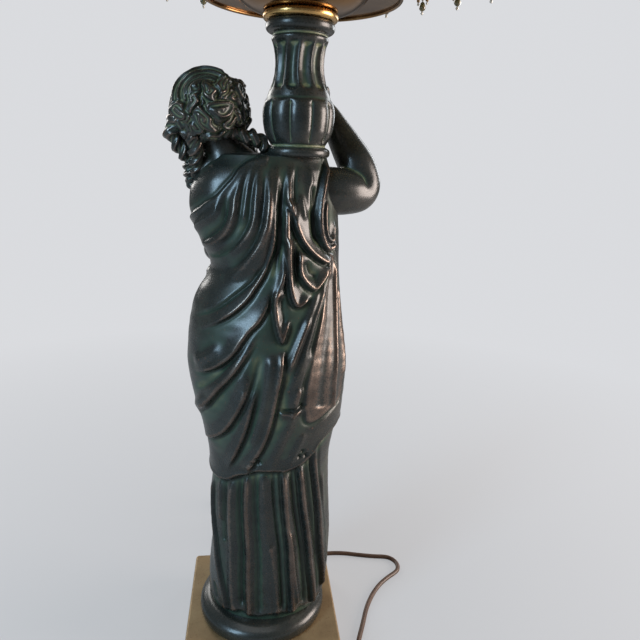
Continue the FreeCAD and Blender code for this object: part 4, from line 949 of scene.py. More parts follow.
def egg(side, tall, deep):
    """The radius of an egg with these half sizes, in every direction from the head's middle."""
    return 1 / np.sqrt((left_part / side) ** 2 + (up_part / tall) ** 2 + (front_part / deep) ** 2)


def spot(across, up, centre_across, centre_up, wide, tall):
    return np.exp(-((across - centre_across) / wide) ** 2 - ((up - centre_up) / tall) ** 2)


# The face, in millimetres across and up from its middle: cheeks, eye sockets and eyes, upper and
# lower lids, brows, nose and nostrils, lips with the line between them, and chin
EYE_ACROSS = 6.4
face_r = egg(np.where(up_part < 0, 15.6, 17.0), 23.5, 21.5)
across, height = face_r * left_part, face_r * up_part
both = np.abs(across)
face = 0.9 * spot(both, height, 9.5, -4.5, 4.0, 4.5) - 1.6 * spot(both, height, 15, -13, 4, 6)
face += -2.3 * spot(both, height, EYE_ACROSS, 1.2, 4.2, 2.8)
face += 1.5 * spot(both, height, EYE_ACROSS, 0.2, 2.7, 1.7)
face += 0.45 * spot(both, height - 1.9 + 0.06 * (both - EYE_ACROSS) ** 2, EYE_ACROSS, 0, 3.2, 0.5)
face += 0.3 * spot(both, height + 1.7 - 0.05 * (both - EYE_ACROSS) ** 2, EYE_ACROSS, 0, 3.0, 0.5)
face += 1.25 * spot(both, height - 5.0 + 0.05 * (both - 6.0) ** 2, EYE_ACROSS, 0, 5.2, 1.3)
nose_share = np.clip((4.5 - height) / 11.5, 0, 1)
nose = (1.2 + 4.3 * nose_share ** 1.2) * np.exp(-(across / (1.5 + 1.0 * nose_share)) ** 2)
face += nose * ease(height, -8.6, -7.2) * (1 - ease(height, 4.0, 9.0))
for lift, out, up, wide, tall in (
    (1.7, 2.9, -7.0, 1.3, 1.4), (-0.9, 1.8, -8.7, 1.0, 0.7), (1.4, 0, -11.4, 4.3, 1.0),
    (1.7, 0, -14.0, 3.6, 1.15), (-1.3, 0, -12.7, 4.8, 0.5), (-0.5, 5.2, -12.7, 1.0, 1.0),
    (-0.4, 0, -9.8, 0.8, 1.2), (-0.8, 0, -16.2, 4.0, 1.0), (1.9, 0, -19.2, 4.6, 2.8),
):
    face += lift * spot(both, height, out, up, wide, tall)

# The hair: strands that follow the outline over the crown, and spiral curls
hair_r = egg(25.0, 24.5, np.where(front_part > 0, 22.0, 28.0))
bun_way = unit(np.array((-3.5, 18.0, -6.0)))
hair_r = hair_r + 3.5 * np.exp(-(np.arccos(np.clip(out_way @ bun_way, -1, 1)) / 0.5) ** 2)
strand_pole = np.array((0.05, 0.93, 0.36))
ring_angle = np.arccos(np.clip(out_way @ strand_pole, -1, 1))
crown_way = np.array((0.55, -0.1, 0.83))
crown = ease(out_way @ crown_way + 0.05 * np.sin(7 * turn_grid), 0.30, 0.46)
wave = 0.35 * np.sin(5 * turn_grid + 6 * rise_grid)
strands = 0.75 * np.sin(30 * ring_angle + 2.4 * wave) + 0.35 * np.sin(67 * ring_angle + 5 * wave)
strands += 1.1 * np.sin(9 * ring_angle + 2 * wave)

# Each curl is a dome with a spiral thread, round one of many directions spread evenly over the head
CURLS = 74
CURL_SPREAD = 27
THREAD_PITCH = 4.1
random = np.random.default_rng(11)
index = np.arange(CURLS) + 0.5
lift_angle = np.arcsin(1 - 2 * index / CURLS)
swing = math.pi * (1 + 5 ** 0.5) * index
curl_ways = np.stack([np.cos(lift_angle) * np.cos(swing), np.cos(lift_angle) * np.sin(swing),
                      np.sin(lift_angle)], axis=1)
curl_ways = unit(curl_ways + random.uniform(-0.09, 0.09, curl_ways.shape))
warped = (out_way + 0.07 * np.sin(9 * out_way[..., [1, 2, 0]] + (0.4, 1.9, 3.1))
          + 0.035 * np.sin(23 * out_way[..., [2, 0, 1]]))
flat_ways = unit(warped).reshape(-1, 3)
nearest_curl = (flat_ways @ curl_ways.T).argmax(axis=1)
curl_way = curl_ways[nearest_curl]
side_way = unit(np.cross(curl_way, (0.3, 0.2, 0.93)))
top_way = np.cross(curl_way, side_way)
lean = random.uniform(0, math.pi, CURLS)[nearest_curl]
flat_x, flat_y = ((flat_ways * way).sum(axis=1) * CURL_SPREAD for way in (side_way, top_way))
curl_x = (flat_x * np.cos(lean) + flat_y * np.sin(lean)) * 0.8
curl_y = (flat_y * np.cos(lean) - flat_x * np.sin(lean)) * 1.2
hand = np.where(nearest_curl % 2 == 0, 1, -1)
from_middle = np.hypot(curl_x, curl_y)
wind = np.arctan2(curl_y, curl_x) * hand
size = random.uniform(5.4, 7.6, CURLS)[nearest_curl]
rise = random.uniform(-1.2, 1.4, CURLS)[nearest_curl]
dome = np.sqrt(np.clip(1 - (from_middle / size) ** 2, 0, 1))
thread = np.cos(wind - 2 * math.pi * from_middle / THREAD_PITCH)
curls = 3.4 * dome + rise + 0.65 * thread * np.clip(from_middle / 1.5, 0, 1) - 1.6
hair = crown * strands + (1 - crown) * curls.reshape(crown.shape)

# Hair outside the face's oval, and a plain round stump under the chin where the neck comes in
STUMP_R = 19.0
FACE_WIDE, FACE_TALL, FACE_DOWN = 0.86, 0.92, 0.30      # radians
in_face = ((turn_grid / FACE_WIDE) ** 2 + ((rise_grid + FACE_DOWN) / FACE_TALL) ** 2) ** 0.5
under_chin = ease(-up_part, 0.80, 0.93)
hair_part = ease(in_face, 0.95, 1.05)
radius = (face_r + face) * (1 - hair_part) + (hair_r + hair) * hair_part
radius = radius * (1 - under_chin) + STUMP_R * under_chin
radius = (np.roll(radius, 1, axis=1) + 4 * radius + np.roll(radius, -1, axis=1)) / 6
head_points = HEAD_AT + out_way * radius[..., None]
head = add_piece("head_and_hair", head_points.reshape(-1, 3), grid_faces(HEAD_ROWS, HEAD_COLUMNS),
                 patina)
wear(head, 12, 0.2, 0.34)


CAP_RINGS = (0.2, 0.55, 0.83)


def tube_mesh(stations, sides=28, steps=10, carve=None):
    """A round-ended tube along smooth stations of (x, y, z, radius): its points and faces."""
    line = smooth_line(stations, steps)
    places, radii = line[:, :3], line[:, 3]
    ways = unit(np.gradient(places, axis=0))
    last = len(places) - 1
    rings, side = [], np.cross(ways[0], (0.31, 0.22, 0.93))
    angle = np.linspace(0, 2 * math.pi, sides, endpoint=False)
    cosine, sine = np.cos(angle)[:, None], np.sin(angle)[:, None]
    begin = [(0, -math.sqrt(1 - share ** 2), share) for share in CAP_RINGS]
    end = [(last, math.sqrt(1 - share ** 2), share) for share in CAP_RINGS[::-1]]
    for step, out, shrink in begin + [(step, 0.0, 1.0) for step in range(last + 1)] + end:
        way, radius = ways[step], radii[step]
        side = unit(side - side @ way * way)
        spread = radius * shrink * (1 if carve is None else 1 + carve(angle, step))
        spread = np.broadcast_to(spread, angle.shape)[:, None]
        rings.append(places[step] + way * (radius * out)
                     + spread * (cosine * side + sine * np.cross(way, side)))
    return np.concatenate(rings), grid_faces(len(rings), sides)


def joined(parts):
    """One set of points and faces from several."""
    points, faces, start = [], [], 0
    for part_points, part_faces in parts:
        points.append(part_points)
        faces += [tuple(start + k for k in face) for face in part_faces]
        start += len(part_points)
    return np.concatenate(points), faces


def plain_mesh(piece, *modifiers):
    """Runs modifiers, each a type and its settings, and keeps the result as the piece's mesh."""
    for kind, settings in modifiers:
        modifier = piece.modifiers.new(kind.lower(), kind)
        for key, value in settings.items():
            setattr(modifier, key, value)
    bpy.context.view_layer.update()
    shape = piece.evaluated_get(bpy.context.evaluated_depsgraph_get())
    mesh = bpy.data.meshes.new_from_object(shape)
    piece.modifiers.clear()
    piece.data = mesh
    mesh.polygons.foreach_set("use_smooth", [True] * len(mesh.polygons))
    return piece


def sculpted(name, parts, voxel, rounds):
    """Overlapping forms melted into one skin, as in a wax pattern."""
    piece = add_piece(name, *joined(parts), patina)
    return plain_mesh(piece, ("REMESH", {"mode": "VOXEL", "voxel_size": voxel * MM}),
                      ("SMOOTH", {"factor": 0.5, "iterations": rounds}))


def lock_carving(angle, step):
    """Two strands of hair wound round each other."""
    return (0.15 * np.cos(2 * angle - 0.42 * step) + 0.09 * np.cos(7 * angle - 0.9 * step)
            + 0.08 * np.sin(0.45 * step + 1.3 * np.sin(angle)))


neck = sculpted("neck", [
    tube_mesh(((25, 1, 370, 15), (25.5, 1, 380, 14.8), (27.5, 0.5, 389, 13.4), (31, 0.5, 397, 12.8),
               (34, 1, 407, 13.4)), 40),
    tube_mesh(((29, 0, 392, 9), (32, 0, 383, 11), (36, 0, 374, 12), (38, 0, 364, 11)), 36),
    tube_mesh(((27, 1, 396, 8), (20, 2, 387, 9.5), (12, 3, 380, 10), (3, 4, 373, 8)), 36),
], 0.9, 10)
locks = add_piece("ringlets", *joined([
    tube_mesh(((54, 10, 409, 5.2), (60.5, 6, 402, 5.6), (58.5, 3, 395, 4.8), (54, 1, 389, 5.6),
               (50.5, -1, 383, 4.8), (49.5, -2, 377, 5.6), (49.5, -3, 371, 5),
               (50.5, -3, 366.5, 3.2)), 30, 14, lock_carving),
    tube_mesh(((46, 16, 398, 4.6), (45.5, 13, 391, 5), (45.5, 9, 385.5, 4.2), (45.5, 6, 380, 4.6),
               (46.5, 4, 374, 3)), 28, 12, lock_carving),
    tube_mesh(((20, 12, 402, 5.2), (14, 13, 399, 4.6), (8.5, 13, 397.5, 5), (3.5, 12, 395.5, 4.2),
               (0.5, 11, 391, 4), (-0.5, 10, 386.5, 2.8)), 28, 12, lock_carving),
    tube_mesh(((17, -14, 402, 4.6), (12, -15, 394, 4.8), (10, -15, 386, 4), (11, -17, 378, 3.8),
               (13, -19, 370, 2.4)), 26, 12, lock_carving),
]), patina)
for piece in (head, neck, locks):
    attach(piece, "stand")
    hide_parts("head")
wear(neck, 10, 0.4, 0.8)
wear(locks, 8, 0.3, 0.5)


# ==== Arms and hands =============================================================================
# The bare right arm rises from the swags and its hand steadies the urn's neck. The left forearm
# comes out of the mantle across the front, and its hand gathers the cloth.

def urn_radius(z):
    return float(np.interp(z, (424, 428, 433, 439, 444, 449, 454),
                           (20.6, 19.4, 17.6, 16.2, 15.8, 16.0, 16.8)))


def finger_on_urn(z_from, z_to, turn_from, turn_to, thick):
    """A finger laid round the urn's neck, between two heights and two directions."""
    stations = []
    for share, swell in ((0, 1.0), (0.25, 0.98), (0.5, 1.06), (0.75, 0.9), (1, 0.72)):
        z = z_from + (z_to - z_from) * share
        turn = math.radians(turn_from + (turn_to - turn_from) * share)
        out = urn_radius(z) + thick * swell * 0.78 + 0.8 * math.sin(math.pi * share)
        stations.append((AXIS_X + out * math.cos(turn), AXIS_Y + out * math.sin(turn), z,
                         thick * swell))
    return tube_mesh(stations, 20, 6)


right_arm = sculpted("right_arm", [
    tube_mesh(((-28, 3, 366, 14), (-42, 2, 365.5, 16), (-55, -2, 364.5, 15.8),
               (-65.5, -6.5, 364.5, 13.6), (-69.3, -9, 371, 12.2), (-64.2, -11.5, 383, 13),
               (-58, -15.5, 394, 11.6), (-51.5, -18.5, 405, 9.6), (-46, -21, 415, 7.4),
               (-41.5, -22, 421, 6)), 44, 8),
    tube_mesh(((-42, -20.5, 419, 5), (-38.5, -18.5, 427, 5.8), (-36, -16, 434, 5)), 26, 6),
    tube_mesh(((-41, -17.5, 420, 4.6), (-37, -20.5, 428, 5.4), (-33.5, -20, 435, 4.8)), 26, 6),
    finger_on_urn(430, 434, -124, -74, 3.2), finger_on_urn(435.5, 440, -124, -68, 3.1),
    finger_on_urn(440.5, 445.5, -126, -72, 2.9), finger_on_urn(443.5, 450, -128, -86, 2.6),
    finger_on_urn(424, 431, -130, -158, 3.2),
], 0.8, 4)
finger_paths = (
    ((3, -46, 335, 3), (1, -49.5, 332, 3.1), (3, -50.5, 327.5, 2.9), (6, -48.5, 325.5, 2.4)),
    ((6, -48, 335, 3), (5, -51, 331, 3), (7, -51.5, 326.5, 2.8), (9.5, -49, 325, 2.4)),
    ((0.5, -43, 335, 2.8), (-2, -46, 332, 2.9), (-0.5, -48, 327.5, 2.7), (2.5, -46.5, 325.5, 2.3)),
    ((-0.5, -40, 333.5, 2.5), (-2.5, -42.5, 331, 2.6), (-1.5, -45, 327, 2.4), (1, -44.5, 325, 2)),
    ((12, -46, 333, 3.2), (9, -49.5, 335, 3.2), (5, -50.5, 335, 2.9), (2, -49.5, 333.5, 2.4)),
)
left_arm = sculpted("left_forearm", [
    tube_mesh(((35, -16, 321, 9), (34, -24, 320, 9.6), (30, -32, 321.5, 8.6), (21, -39, 324.5, 7),
               (15.5, -42.5, 327, 6)), 36, 8),
    tube_mesh(((16, -43, 328, 5.4), (10.5, -45, 331, 6.6), (5, -44.5, 332.5, 6.2)), 28, 6),
    tube_mesh(((14, -42, 330, 4.6), (9, -41, 334, 5), (4.5, -40, 334.5, 4.6)), 26, 6),
    *(tube_mesh(path, 18, 6) for path in finger_paths),
], 0.7, 3)
for piece, cast in ((right_arm, "raised_arm"), (left_arm, "left_forearm")):
    wear(piece, 14, 0.35, 0.6)
    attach(piece, "stand")
    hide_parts(cast)


# ==== Brass collar, dish and locknut =============================================================
# Spun and turned brass, polished and lacquered: fine lathe rings run round it, and it has a warm
# tarnish. The dish gets a much darker copy of the brass, as painted shade.

LATHE_SCALE = 900.0


def brass_finish(name, colour, tarnish, roughness, lathe=0.05):
    """Lacquered brass turned on the lamp's axis."""
    material, tree, bsdf = new_material(name, colour, roughness, 1.0)
    marks = marks_on(tree, 45.0, 500.0)
    stain = ramp(tree, marks["Blotch"], (0.35, 0.0), (0.75, 0.8))
    feed(bsdf, "Base Color", blend(tree, stain, colour, tarnish))
    feed(bsdf, "Roughness",
         ramp(tree, marks["Speck"], (0.3, roughness * 0.85), (0.75, roughness * 1.35)))
    place = node(tree, "ShaderNodeTexCoord").outputs["Object"]
    centred = node(tree, "ShaderNodeMapping",
                   {"Vector": place, "Location": (-AXIS_X * MM, -AXIS_Y * MM, 0.0)})
    rings = node(tree, "ShaderNodeTexWave",
                 {"Vector": centred.outputs["Vector"], "Scale": LATHE_SCALE, "Distortion": 1.5,
                  "Detail": 2.0}, wave_type="RINGS", rings_direction="Z")
    bump(tree, bsdf, rings.outputs["Fac"], lathe, 0.0001)
    return material


brass_bright = brass_finish("brass_bright", (0.74, 0.47, 0.18), (0.40, 0.23, 0.09), 0.24)
brass = brass_finish("brass", (0.52, 0.34, 0.15), (0.24, 0.14, 0.06), 0.32)
# Painted shade: a much darker copy of the brass, for the dish seen in its own shadow from below.
dress(brass_finish("shaded_dish_brass", (0.30, 0.17, 0.07), (0.15, 0.08, 0.035), 0.15, lathe=0.01),
      "brass_dish")
dress(brass, "dish_locknut", "harp_saddle", "harp", "harp_sleeve_left", "harp_sleeve_right",
      "shade_spider", "shade_hub", "socket_cap", "socket_shell", "switch_shaft", "terminal_screws",
      "screw_shell", "centre_contact", "plug_blades")

collar = turned_piece("collar", (
    (5.2, 469), (21.6, 469), (22.9, 469.4), (23.8, 470.4), (24.1, 471.8), (23.8, 473.2),
    (23, 474.2), (22.4, 474.5), (5.2, 474.5),
), brass_bright, rows=60, columns=160)
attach(collar, "stand")
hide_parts("brass_collar")


# ==== Lampholder and switch ======================================================================
# A brass cap and shell with a card liner, round a black moulded core. The knob is moulded and
# fluted.

dress(mottled(
    "card", (0.20, 0.15, 0.10), 0.85, scales=(120.0, 1400.0),
    tint=("Speck", (0.3, (0.15, 0.11, 0.075)), (0.7, (0.25, 0.19, 0.13))),
    relief=("Speck", 0.4, 0.0003)), "socket_liner")
dress(mottled(
    "bakelite", (0.018, 0.014, 0.012), 0.28, scales=(150.0, 1200.0),
    tint=("Blotch", (0.35, (0.013, 0.011, 0.010)), (0.7, (0.034, 0.022, 0.016))),
    rough=("Speck", (0.3, 0.22), (0.7, 0.4)), relief=("Grain", 0.1, 0.0002)),
    "socket_core", "switch_knob")


# ==== Bulb =======================================================================================
# A frosted glass bulb with a lead-in stem, in a plated screw cap that is insulated from its tip.

dress(mottled(
    "frosted_glass", (0.96, 0.95, 0.92), 0.35, scales=(60.0, 2200.0), Transmission_Weight=0.75,
    IOR=1.45, tint=("Blotch", (0.3, (0.93, 0.92, 0.88)), (0.7, (0.98, 0.97, 0.95))),
    rough=("Speck", (0.3, 0.3), (0.7, 0.42)), relief=("Speck", 0.08, 0.0001)),
    "bulb_glass", "bulb_stem")
dress(mottled(
    "cap_metal", (0.62, 0.60, 0.55), 0.3, 1.0, scales=(150.0, 1200.0),
    tint=("Blotch", (0.35, (0.5, 0.48, 0.43)), (0.7, (0.68, 0.66, 0.6))),
    rough=("Speck", (0.3, 0.25), (0.7, 0.4)), relief=("Grain", 0.1, 0.0002)), "bulb_cap")
dress(mottled(
    "bulb_insulator", (0.05, 0.04, 0.045), 0.2, scales=(200.0, 1500.0),
    tint=("Blotch", (0.35, (0.035, 0.028, 0.03)), (0.7, (0.07, 0.055, 0.06))),
    relief=("Grain", 0.1, 0.0002)), "bulb_tip")


# ==== Finial =====================================================================================
# A turned brass knob with a foot, a neck and an acorn top in a reeded cup. It screws onto the
# harp's stud.

FINIAL_Z, FINIAL_H = 689.7, 34
REEDS = 18


def finial_carving(angle, height):
    """Reeds round the acorn's cup."""
    share = (height - FINIAL_Z) / FINIAL_H
    reeds = np.abs(np.sin(REEDS / 2 * angle)) - 1
    return 0.45 * reeds * ease(share, 0.38, 0.42) * (1 - ease(share, 0.54, 0.57))


finial = turned_piece("finial_knob", (
    (3.1, 689.7), (7.2, 689.7), (7.5, 690.2), (7.5, 691.8), (6.6, 692.6), (5, 693.6), (4.5, 695.4),
    (4.6, 697.4), (5.9, 698.4), (6.1, 699.4), (5.4, 700.4), (5.6, 701.2), (7.6, 703.4),
    (9.1, 706.4), (9.4, 709), (8.9, 709.8), (8.9, 710.6), (9.3, 711), (8.9, 713), (7.6, 716.2),
    (5.2, 719.2), (3.4, 720.8), (2.6, 721.8), (2.4, 722.8), (1.6, 723.5), (0.3, 723.7),
), brass_bright, rows=150, columns=144, carve=finial_carving)
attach(finial, "finial")
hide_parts("finial")


# ==== Shade cover ================================================================================
# Cream slub silk, cut in eight gores and stretched over a wire frame, so that it draws in a little
# between the ribs. A narrow piping covers the seam on each rib.

SHADE_Z, SHADE_TOP = 546.9, 696.9
SHADE_FOOT_R, SHADE_WAIST_R, SHADE_TOP_R = 172.0, 113.0, 80.0
SHADE_WAIST_Z = 612.9
RIBS = 8
FIRST_RIB = math.radians(22.5)
COVER_T = 0.6
GORE_WIDTH, GORE_LENGTH = 0.136, 0.186

# The bell line is an arc through the foot, the waist and the top
knots = np.array([(SHADE_FOOT_R, SHADE_Z), (SHADE_WAIST_R, SHADE_WAIST_Z),
                  (SHADE_TOP_R, SHADE_TOP)])
doubled = 2 * (knots[1:] - knots[0])
arc_middle = np.linalg.solve(doubled, (knots[1:] ** 2).sum(axis=1) - (knots[0] ** 2).sum())
arc_r = np.linalg.norm(knots[0] - arc_middle)


def bell_radius(z):
    return arc_middle[0] - np.sqrt(arc_r ** 2 - (z - arc_middle[1]) ** 2)


silk, tree, bsdf = new_material("cream_silk", (0.80, 0.70, 0.52), 0.62, Sheen_Weight=0.35,
                                Sheen_Roughness=0.4)
uv_map = node(tree, "ShaderNodeUVMap", uv_map="cloth").outputs["UV"]
slubs, warp = (
    node(tree, "ShaderNodeTexNoise", {
        "Vector": node(tree, "ShaderNodeMapping", {"Vector": uv_map, "Scale": scale}).outputs[0],
        "Scale": 1.0, "Detail": detail, "Roughness": 0.6}).outputs["Fac"]
    for scale, detail in (((60.0, 900.0, 1.0), 4.0), ((2400.0, 120.0, 1.0), 3.0)))
marks = marks_on(tree, 14.0, 300.0)
faded = ramp(tree, marks["Blotch"], (0.3, (0.75, 0.63, 0.45)), (0.7, (0.82, 0.73, 0.56)))
thin = ramp(tree, slubs, (0.35, 0.0), (0.72, 0.55))
feed(bsdf, "Base Color", blend(tree, thin, faded, (0.88, 0.81, 0.67)))
feed(bsdf, "Roughness", ramp(tree, warp, (0.3, 0.5), (0.7, 0.72)))
bump(tree, bsdf, calc(tree, "ADD", slubs, warp), 0.35, 0.0003)

COVER_COLUMNS, COVER_ROWS = RIBS * 46, 84
SAG, SEAM_INSET = 4.2, 0.9
cover_angle = np.linspace(0, 2 * math.pi, COVER_COLUMNS, endpoint=False) + FIRST_RIB
cover_z = np.linspace(SHADE_Z + 0.2, SHADE_TOP - 0.2, COVER_ROWS)[:, None]
between = np.abs(np.sin(RIBS / 2 * (cover_angle - FIRST_RIB)))
taut = np.sin(math.pi * (cover_z - SHADE_Z) / (SHADE_TOP - SHADE_Z)) ** 0.8
random = np.random.default_rng(5)
pucker = sum(random.uniform(0.3, 1) * np.sin(turns * cover_angle + random.uniform(0, 6))
             for turns in range(60, 120, 6))
near_ring = np.exp(-(cover_z - SHADE_Z) / 9) + np.exp(-(SHADE_TOP - cover_z) / 7)
skin = (bell_radius(cover_z) - SEAM_INSET - SAG * taut * between ** 1.4 + 0.10 * near_ring * pucker)


def round_axis(radius, angle, z):
    """Points at a radius and an angle from the lamp's axis."""
    return np.stack(np.broadcast_arrays(AXIS_X + radius * np.cos(angle),
                                        AXIS_Y + radius * np.sin(angle), z), axis=-1)


outer_skin, inner_skin = (round_axis(radius, cover_angle, cover_z).reshape(-1, 3)
                          for radius in (skin + COVER_T, skin))
inside = COVER_ROWS * COVER_COLUMNS
top = inside - COVER_COLUMNS
quads = grid_faces(COVER_ROWS, COVER_COLUMNS, closed=False)
cover_faces = quads + [tuple(inside + k for k in face[::-1]) for face in quads]
for k in range(COVER_COLUMNS):
    after = (k + 1) % COVER_COLUMNS
    cover_faces.append((after, k, inside + k, inside + after))
    cover_faces.append((top + k, top + after, inside + top + after, inside + top + k))
cover = add_piece("silk_cover", np.concatenate([outer_skin, inner_skin]), cover_faces, silk)

# The cloth's own flat measures, in metres, as its UV map
profile_r, profile_z = bell_radius(cover_z[:, 0]), cover_z[:, 0]
steps = np.hypot(np.diff(profile_r), np.diff(profile_z))
along_profile = np.concatenate([[0], np.cumsum(steps)]) * MM
around = np.arange(COVER_COLUMNS) / COVER_COLUMNS * RIBS * GORE_WIDTH
corners = read_all(cover.data.loops, "vertex_index", kind=int)[:, 0]
flat = np.stack([around[corners % COVER_COLUMNS],
                 along_profile[(corners // COVER_COLUMNS) % COVER_ROWS]], axis=1)
cover.data.uv_layers.new(name="cloth").data.foreach_set("uv", flat.reshape(-1).astype(np.float32))
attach(cover, "shade")
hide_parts("shade_cover")

PIPING_R, PIPING_SUNK = 0.85, 0.15
piping_z = np.linspace(SHADE_Z + 1, SHADE_TOP - 1, 26)
piping = add_piece("seam_piping", *joined(
    tube_mesh(np.column_stack([
        round_axis(bell_radius(piping_z) - PIPING_SUNK, FIRST_RIB + 2 * math.pi * rib / RIBS,
                   piping_z),
        np.full_like(piping_z, PIPING_R)]), 8, 2)
    for rib in range(RIBS)), silk)
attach(piping, "shade")


# ==== Braids =====================================================================================
# Woven gimp glued over the cover's two edges: a row of scrolled loops on a flat tape, all in
# gold-olive rayon.

# Geometry Nodes that set copies of a unit out round the lamp's axis
around_axis = bpy.data.node_groups.new("around_axis", "GeometryNodeTree")
around_axis.interface.new_socket("Geometry", in_out="INPUT", socket_type="NodeSocketGeometry")
setting = {
    label: around_axis.interface.new_socket(label, in_out="INPUT", socket_type=kind).identifier
    for label, kind in (("Count", "NodeSocketInt"), ("Radius", "NodeSocketFloat"),
                        ("Height", "NodeSocketFloat"), ("Start", "NodeSocketFloat"),
                        ("Material", "NodeSocketMaterial"))
}
around_axis.interface.new_socket("Geometry", in_out="OUTPUT", socket_type="NodeSocketGeometry")
given = node(around_axis, "NodeGroupInput").outputs
number = node(around_axis, "GeometryNodeInputIndex").outputs[0]
share = calc(around_axis, "DIVIDE", calc(around_axis, "ADD", number, given["Start"]),
             given["Count"])
turn = calc(around_axis, "MULTIPLY", share, 2 * math.pi)
x, y = (
    calc(around_axis, "ADD",
         calc(around_axis, "MULTIPLY", calc(around_axis, way, turn), given["Radius"]), centre * MM)
    for way, centre in (("COSINE", AXIS_X), ("SINE", AXIS_Y)))
place = node(around_axis, "ShaderNodeCombineXYZ", {0: x, 1: y, 2: given["Height"]})
spots = node(around_axis, "GeometryNodePoints",
             {"Count": given["Count"], "Position": place.outputs[0]})
facing = node(around_axis, "ShaderNodeCombineXYZ", {2: turn})
copies = node(around_axis, "GeometryNodeInstanceOnPoints",
              {"Points": spots.outputs[0], "Instance": given["Geometry"],
               "Rotation": facing.outputs[0]})
real = node(around_axis, "GeometryNodeRealizeInstances", {"Geometry": copies.outputs[0]})
painted = node(around_axis, "GeometryNodeSetMaterial",
               {"Geometry": real.outputs[0], "Material": given["Material"]})
node(around_axis, "NodeGroupOutput", {0: painted.outputs[0]})


def repeated(name, shape, material, count, radius, height, start=0.0):
    """Copies of a shape modelled at the origin, facing +X, set out round the lamp's axis."""
    piece = add_piece(name, *shape, material)
    modifier = piece.modifiers.new("around", "NODES")
    modifier.node_group = around_axis
    values = {"Count": count, "Radius": radius * MM, "Height": height * MM, "Start": start,
              "Material": material}
    for label, value in values.items():
        modifier[setting[label]] = value
    return plain_mesh(piece)


braid = mottled(
    "braid", (0.36, 0.29, 0.13), 0.55, scales=(90.0, 1800.0), Sheen_Weight=0.4,
    tint=("Speck", (0.3, (0.25, 0.20, 0.08)), (0.7, (0.46, 0.38, 0.19))),
    rough=("Blotch", (0.3, 0.45), (0.7, 0.65)), relief=("Speck", 0.5, 0.0003))


GIMP_R, SCROLL_OUT = 0.55, 0.35
TAPE_T = 0.8
LOW_SCROLLS, TOP_SCROLLS = 190, 92


def gimp_unit(pitch, tall):
    """One scroll of the gimp: two loops that cross and a short bar, facing outwards."""
    paths = []
    for flip in (1, -1):
        paths.append([])
        for t in np.arange(9) / 8:
            out = SCROLL_OUT + SCROLL_OUT * math.sin(math.pi * t * 2) * flip
            up = flip * (tall * 0.30) * math.cos(2 * math.pi * t) + flip * tall * 0.05
            paths[-1].append((out, (t - 0.5) * pitch * 1.15, up, GIMP_R))
    paths.append(((0.9, -pitch * 0.22, 0, 0.5), (1.15, 0, 0, 0.85), (0.9, pitch * 0.22, 0, 0.5)))
    return joined(tube_mesh(path, 6, 2) for path in paths)


def tape(name, radius, low, high):
    """The flat tape behind the scrolls, with a corded edge along its top and bottom."""
    front, face = radius + TAPE_T, radius + TAPE_T * 0.7
    edge = ((radius, 0.6), (front, 0.3), (front + 0.5, 0.7), (front, 1.4), (face, 1.7))
    outline = ([(r, low + up) for r, up in edge] + [(face, (low + high) / 2)]
               + [(r, high - up) for r, up in edge[::-1]])
    return turned_piece(name, outline, braid, rows=40, columns=360)


low_gimp = gimp_unit(2 * math.pi * 173 / LOW_SCROLLS, 6.4)
top_gimp = gimp_unit(2 * math.pi * 83 / TOP_SCROLLS, 5.0)
low_tape = tape("low_braid_tape", 172.1, 542.9, 551.9)
low_scrolls = repeated("low_braid_scrolls", low_gimp, braid, LOW_SCROLLS, 172.7, 547.4)
top_tape = tape("top_braid_tape", 81.6, 689.7, 696.9)
top_scrolls = repeated("top_braid_scrolls", top_gimp, braid, TOP_SCROLLS, 82.2, 693.3)
for piece, cast in ((low_tape, "bottom_braid"), (low_scrolls, "bottom_braid"),
                    (top_tape, "top_braid"), (top_scrolls, "top_braid")):
    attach(piece, "shade")
    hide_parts(cast)


# ==== Bead fringe ================================================================================
# Strands of small glass beads hang from the bottom braid in a zigzag. Each point of the zigzag ends
# in an olive teardrop with a pearl under it.

FRINGE_TOP, FRINGE_TIP = 543.4, 506.5
FRINGE_R = 172.9
ZIGZAGS = 33
SEED_H, SEED_R, SEED_GAP = 2.3, 1.1, 0.15
THREAD_R = 0.2
TUCK = 0.4


def bead(height, radius, low, sides=8, belly=0.5):
    """A round or drop-shaped bead on a vertical strand, its lowest point at low."""
    shoulder = 0.55 if belly < 0.5 else 0.72
    angle = np.linspace(0, 2 * math.pi, sides, endpoint=False)
    rings = [np.stack([radius * wide * np.cos(angle), radius * wide * np.sin(angle),
                       np.full(sides, low + height * up)], axis=1)
             for up, wide in ((0, 0.25), (0.14, 0.72), (belly, 1), (0.86, shoulder), (1, 0.22))]
    return np.concatenate(rings), grid_faces(len(rings), sides)


pearl, olive, amber = (
    mottled(name, light, roughness, scales=(220.0, 900.0), Coat_Weight=coat, Coat_Roughness=0.06,
            tint=("Blotch", (0.35, deep), (0.65, light)),
            rough=("Speck", (0.3, roughness * 0.8), (0.7, roughness * 1.3)))
    for name, light, deep, roughness, coat in (
        ("pearl_beads", (0.82, 0.78, 0.70), (0.62, 0.58, 0.50), 0.25, 0.6),
        ("olive_beads", (0.17, 0.15, 0.06), (0.09, 0.07, 0.03), 0.14, 0.8),
        ("amber_beads", (0.36, 0.22, 0.09), (0.20, 0.11, 0.04), 0.16, 0.8)))

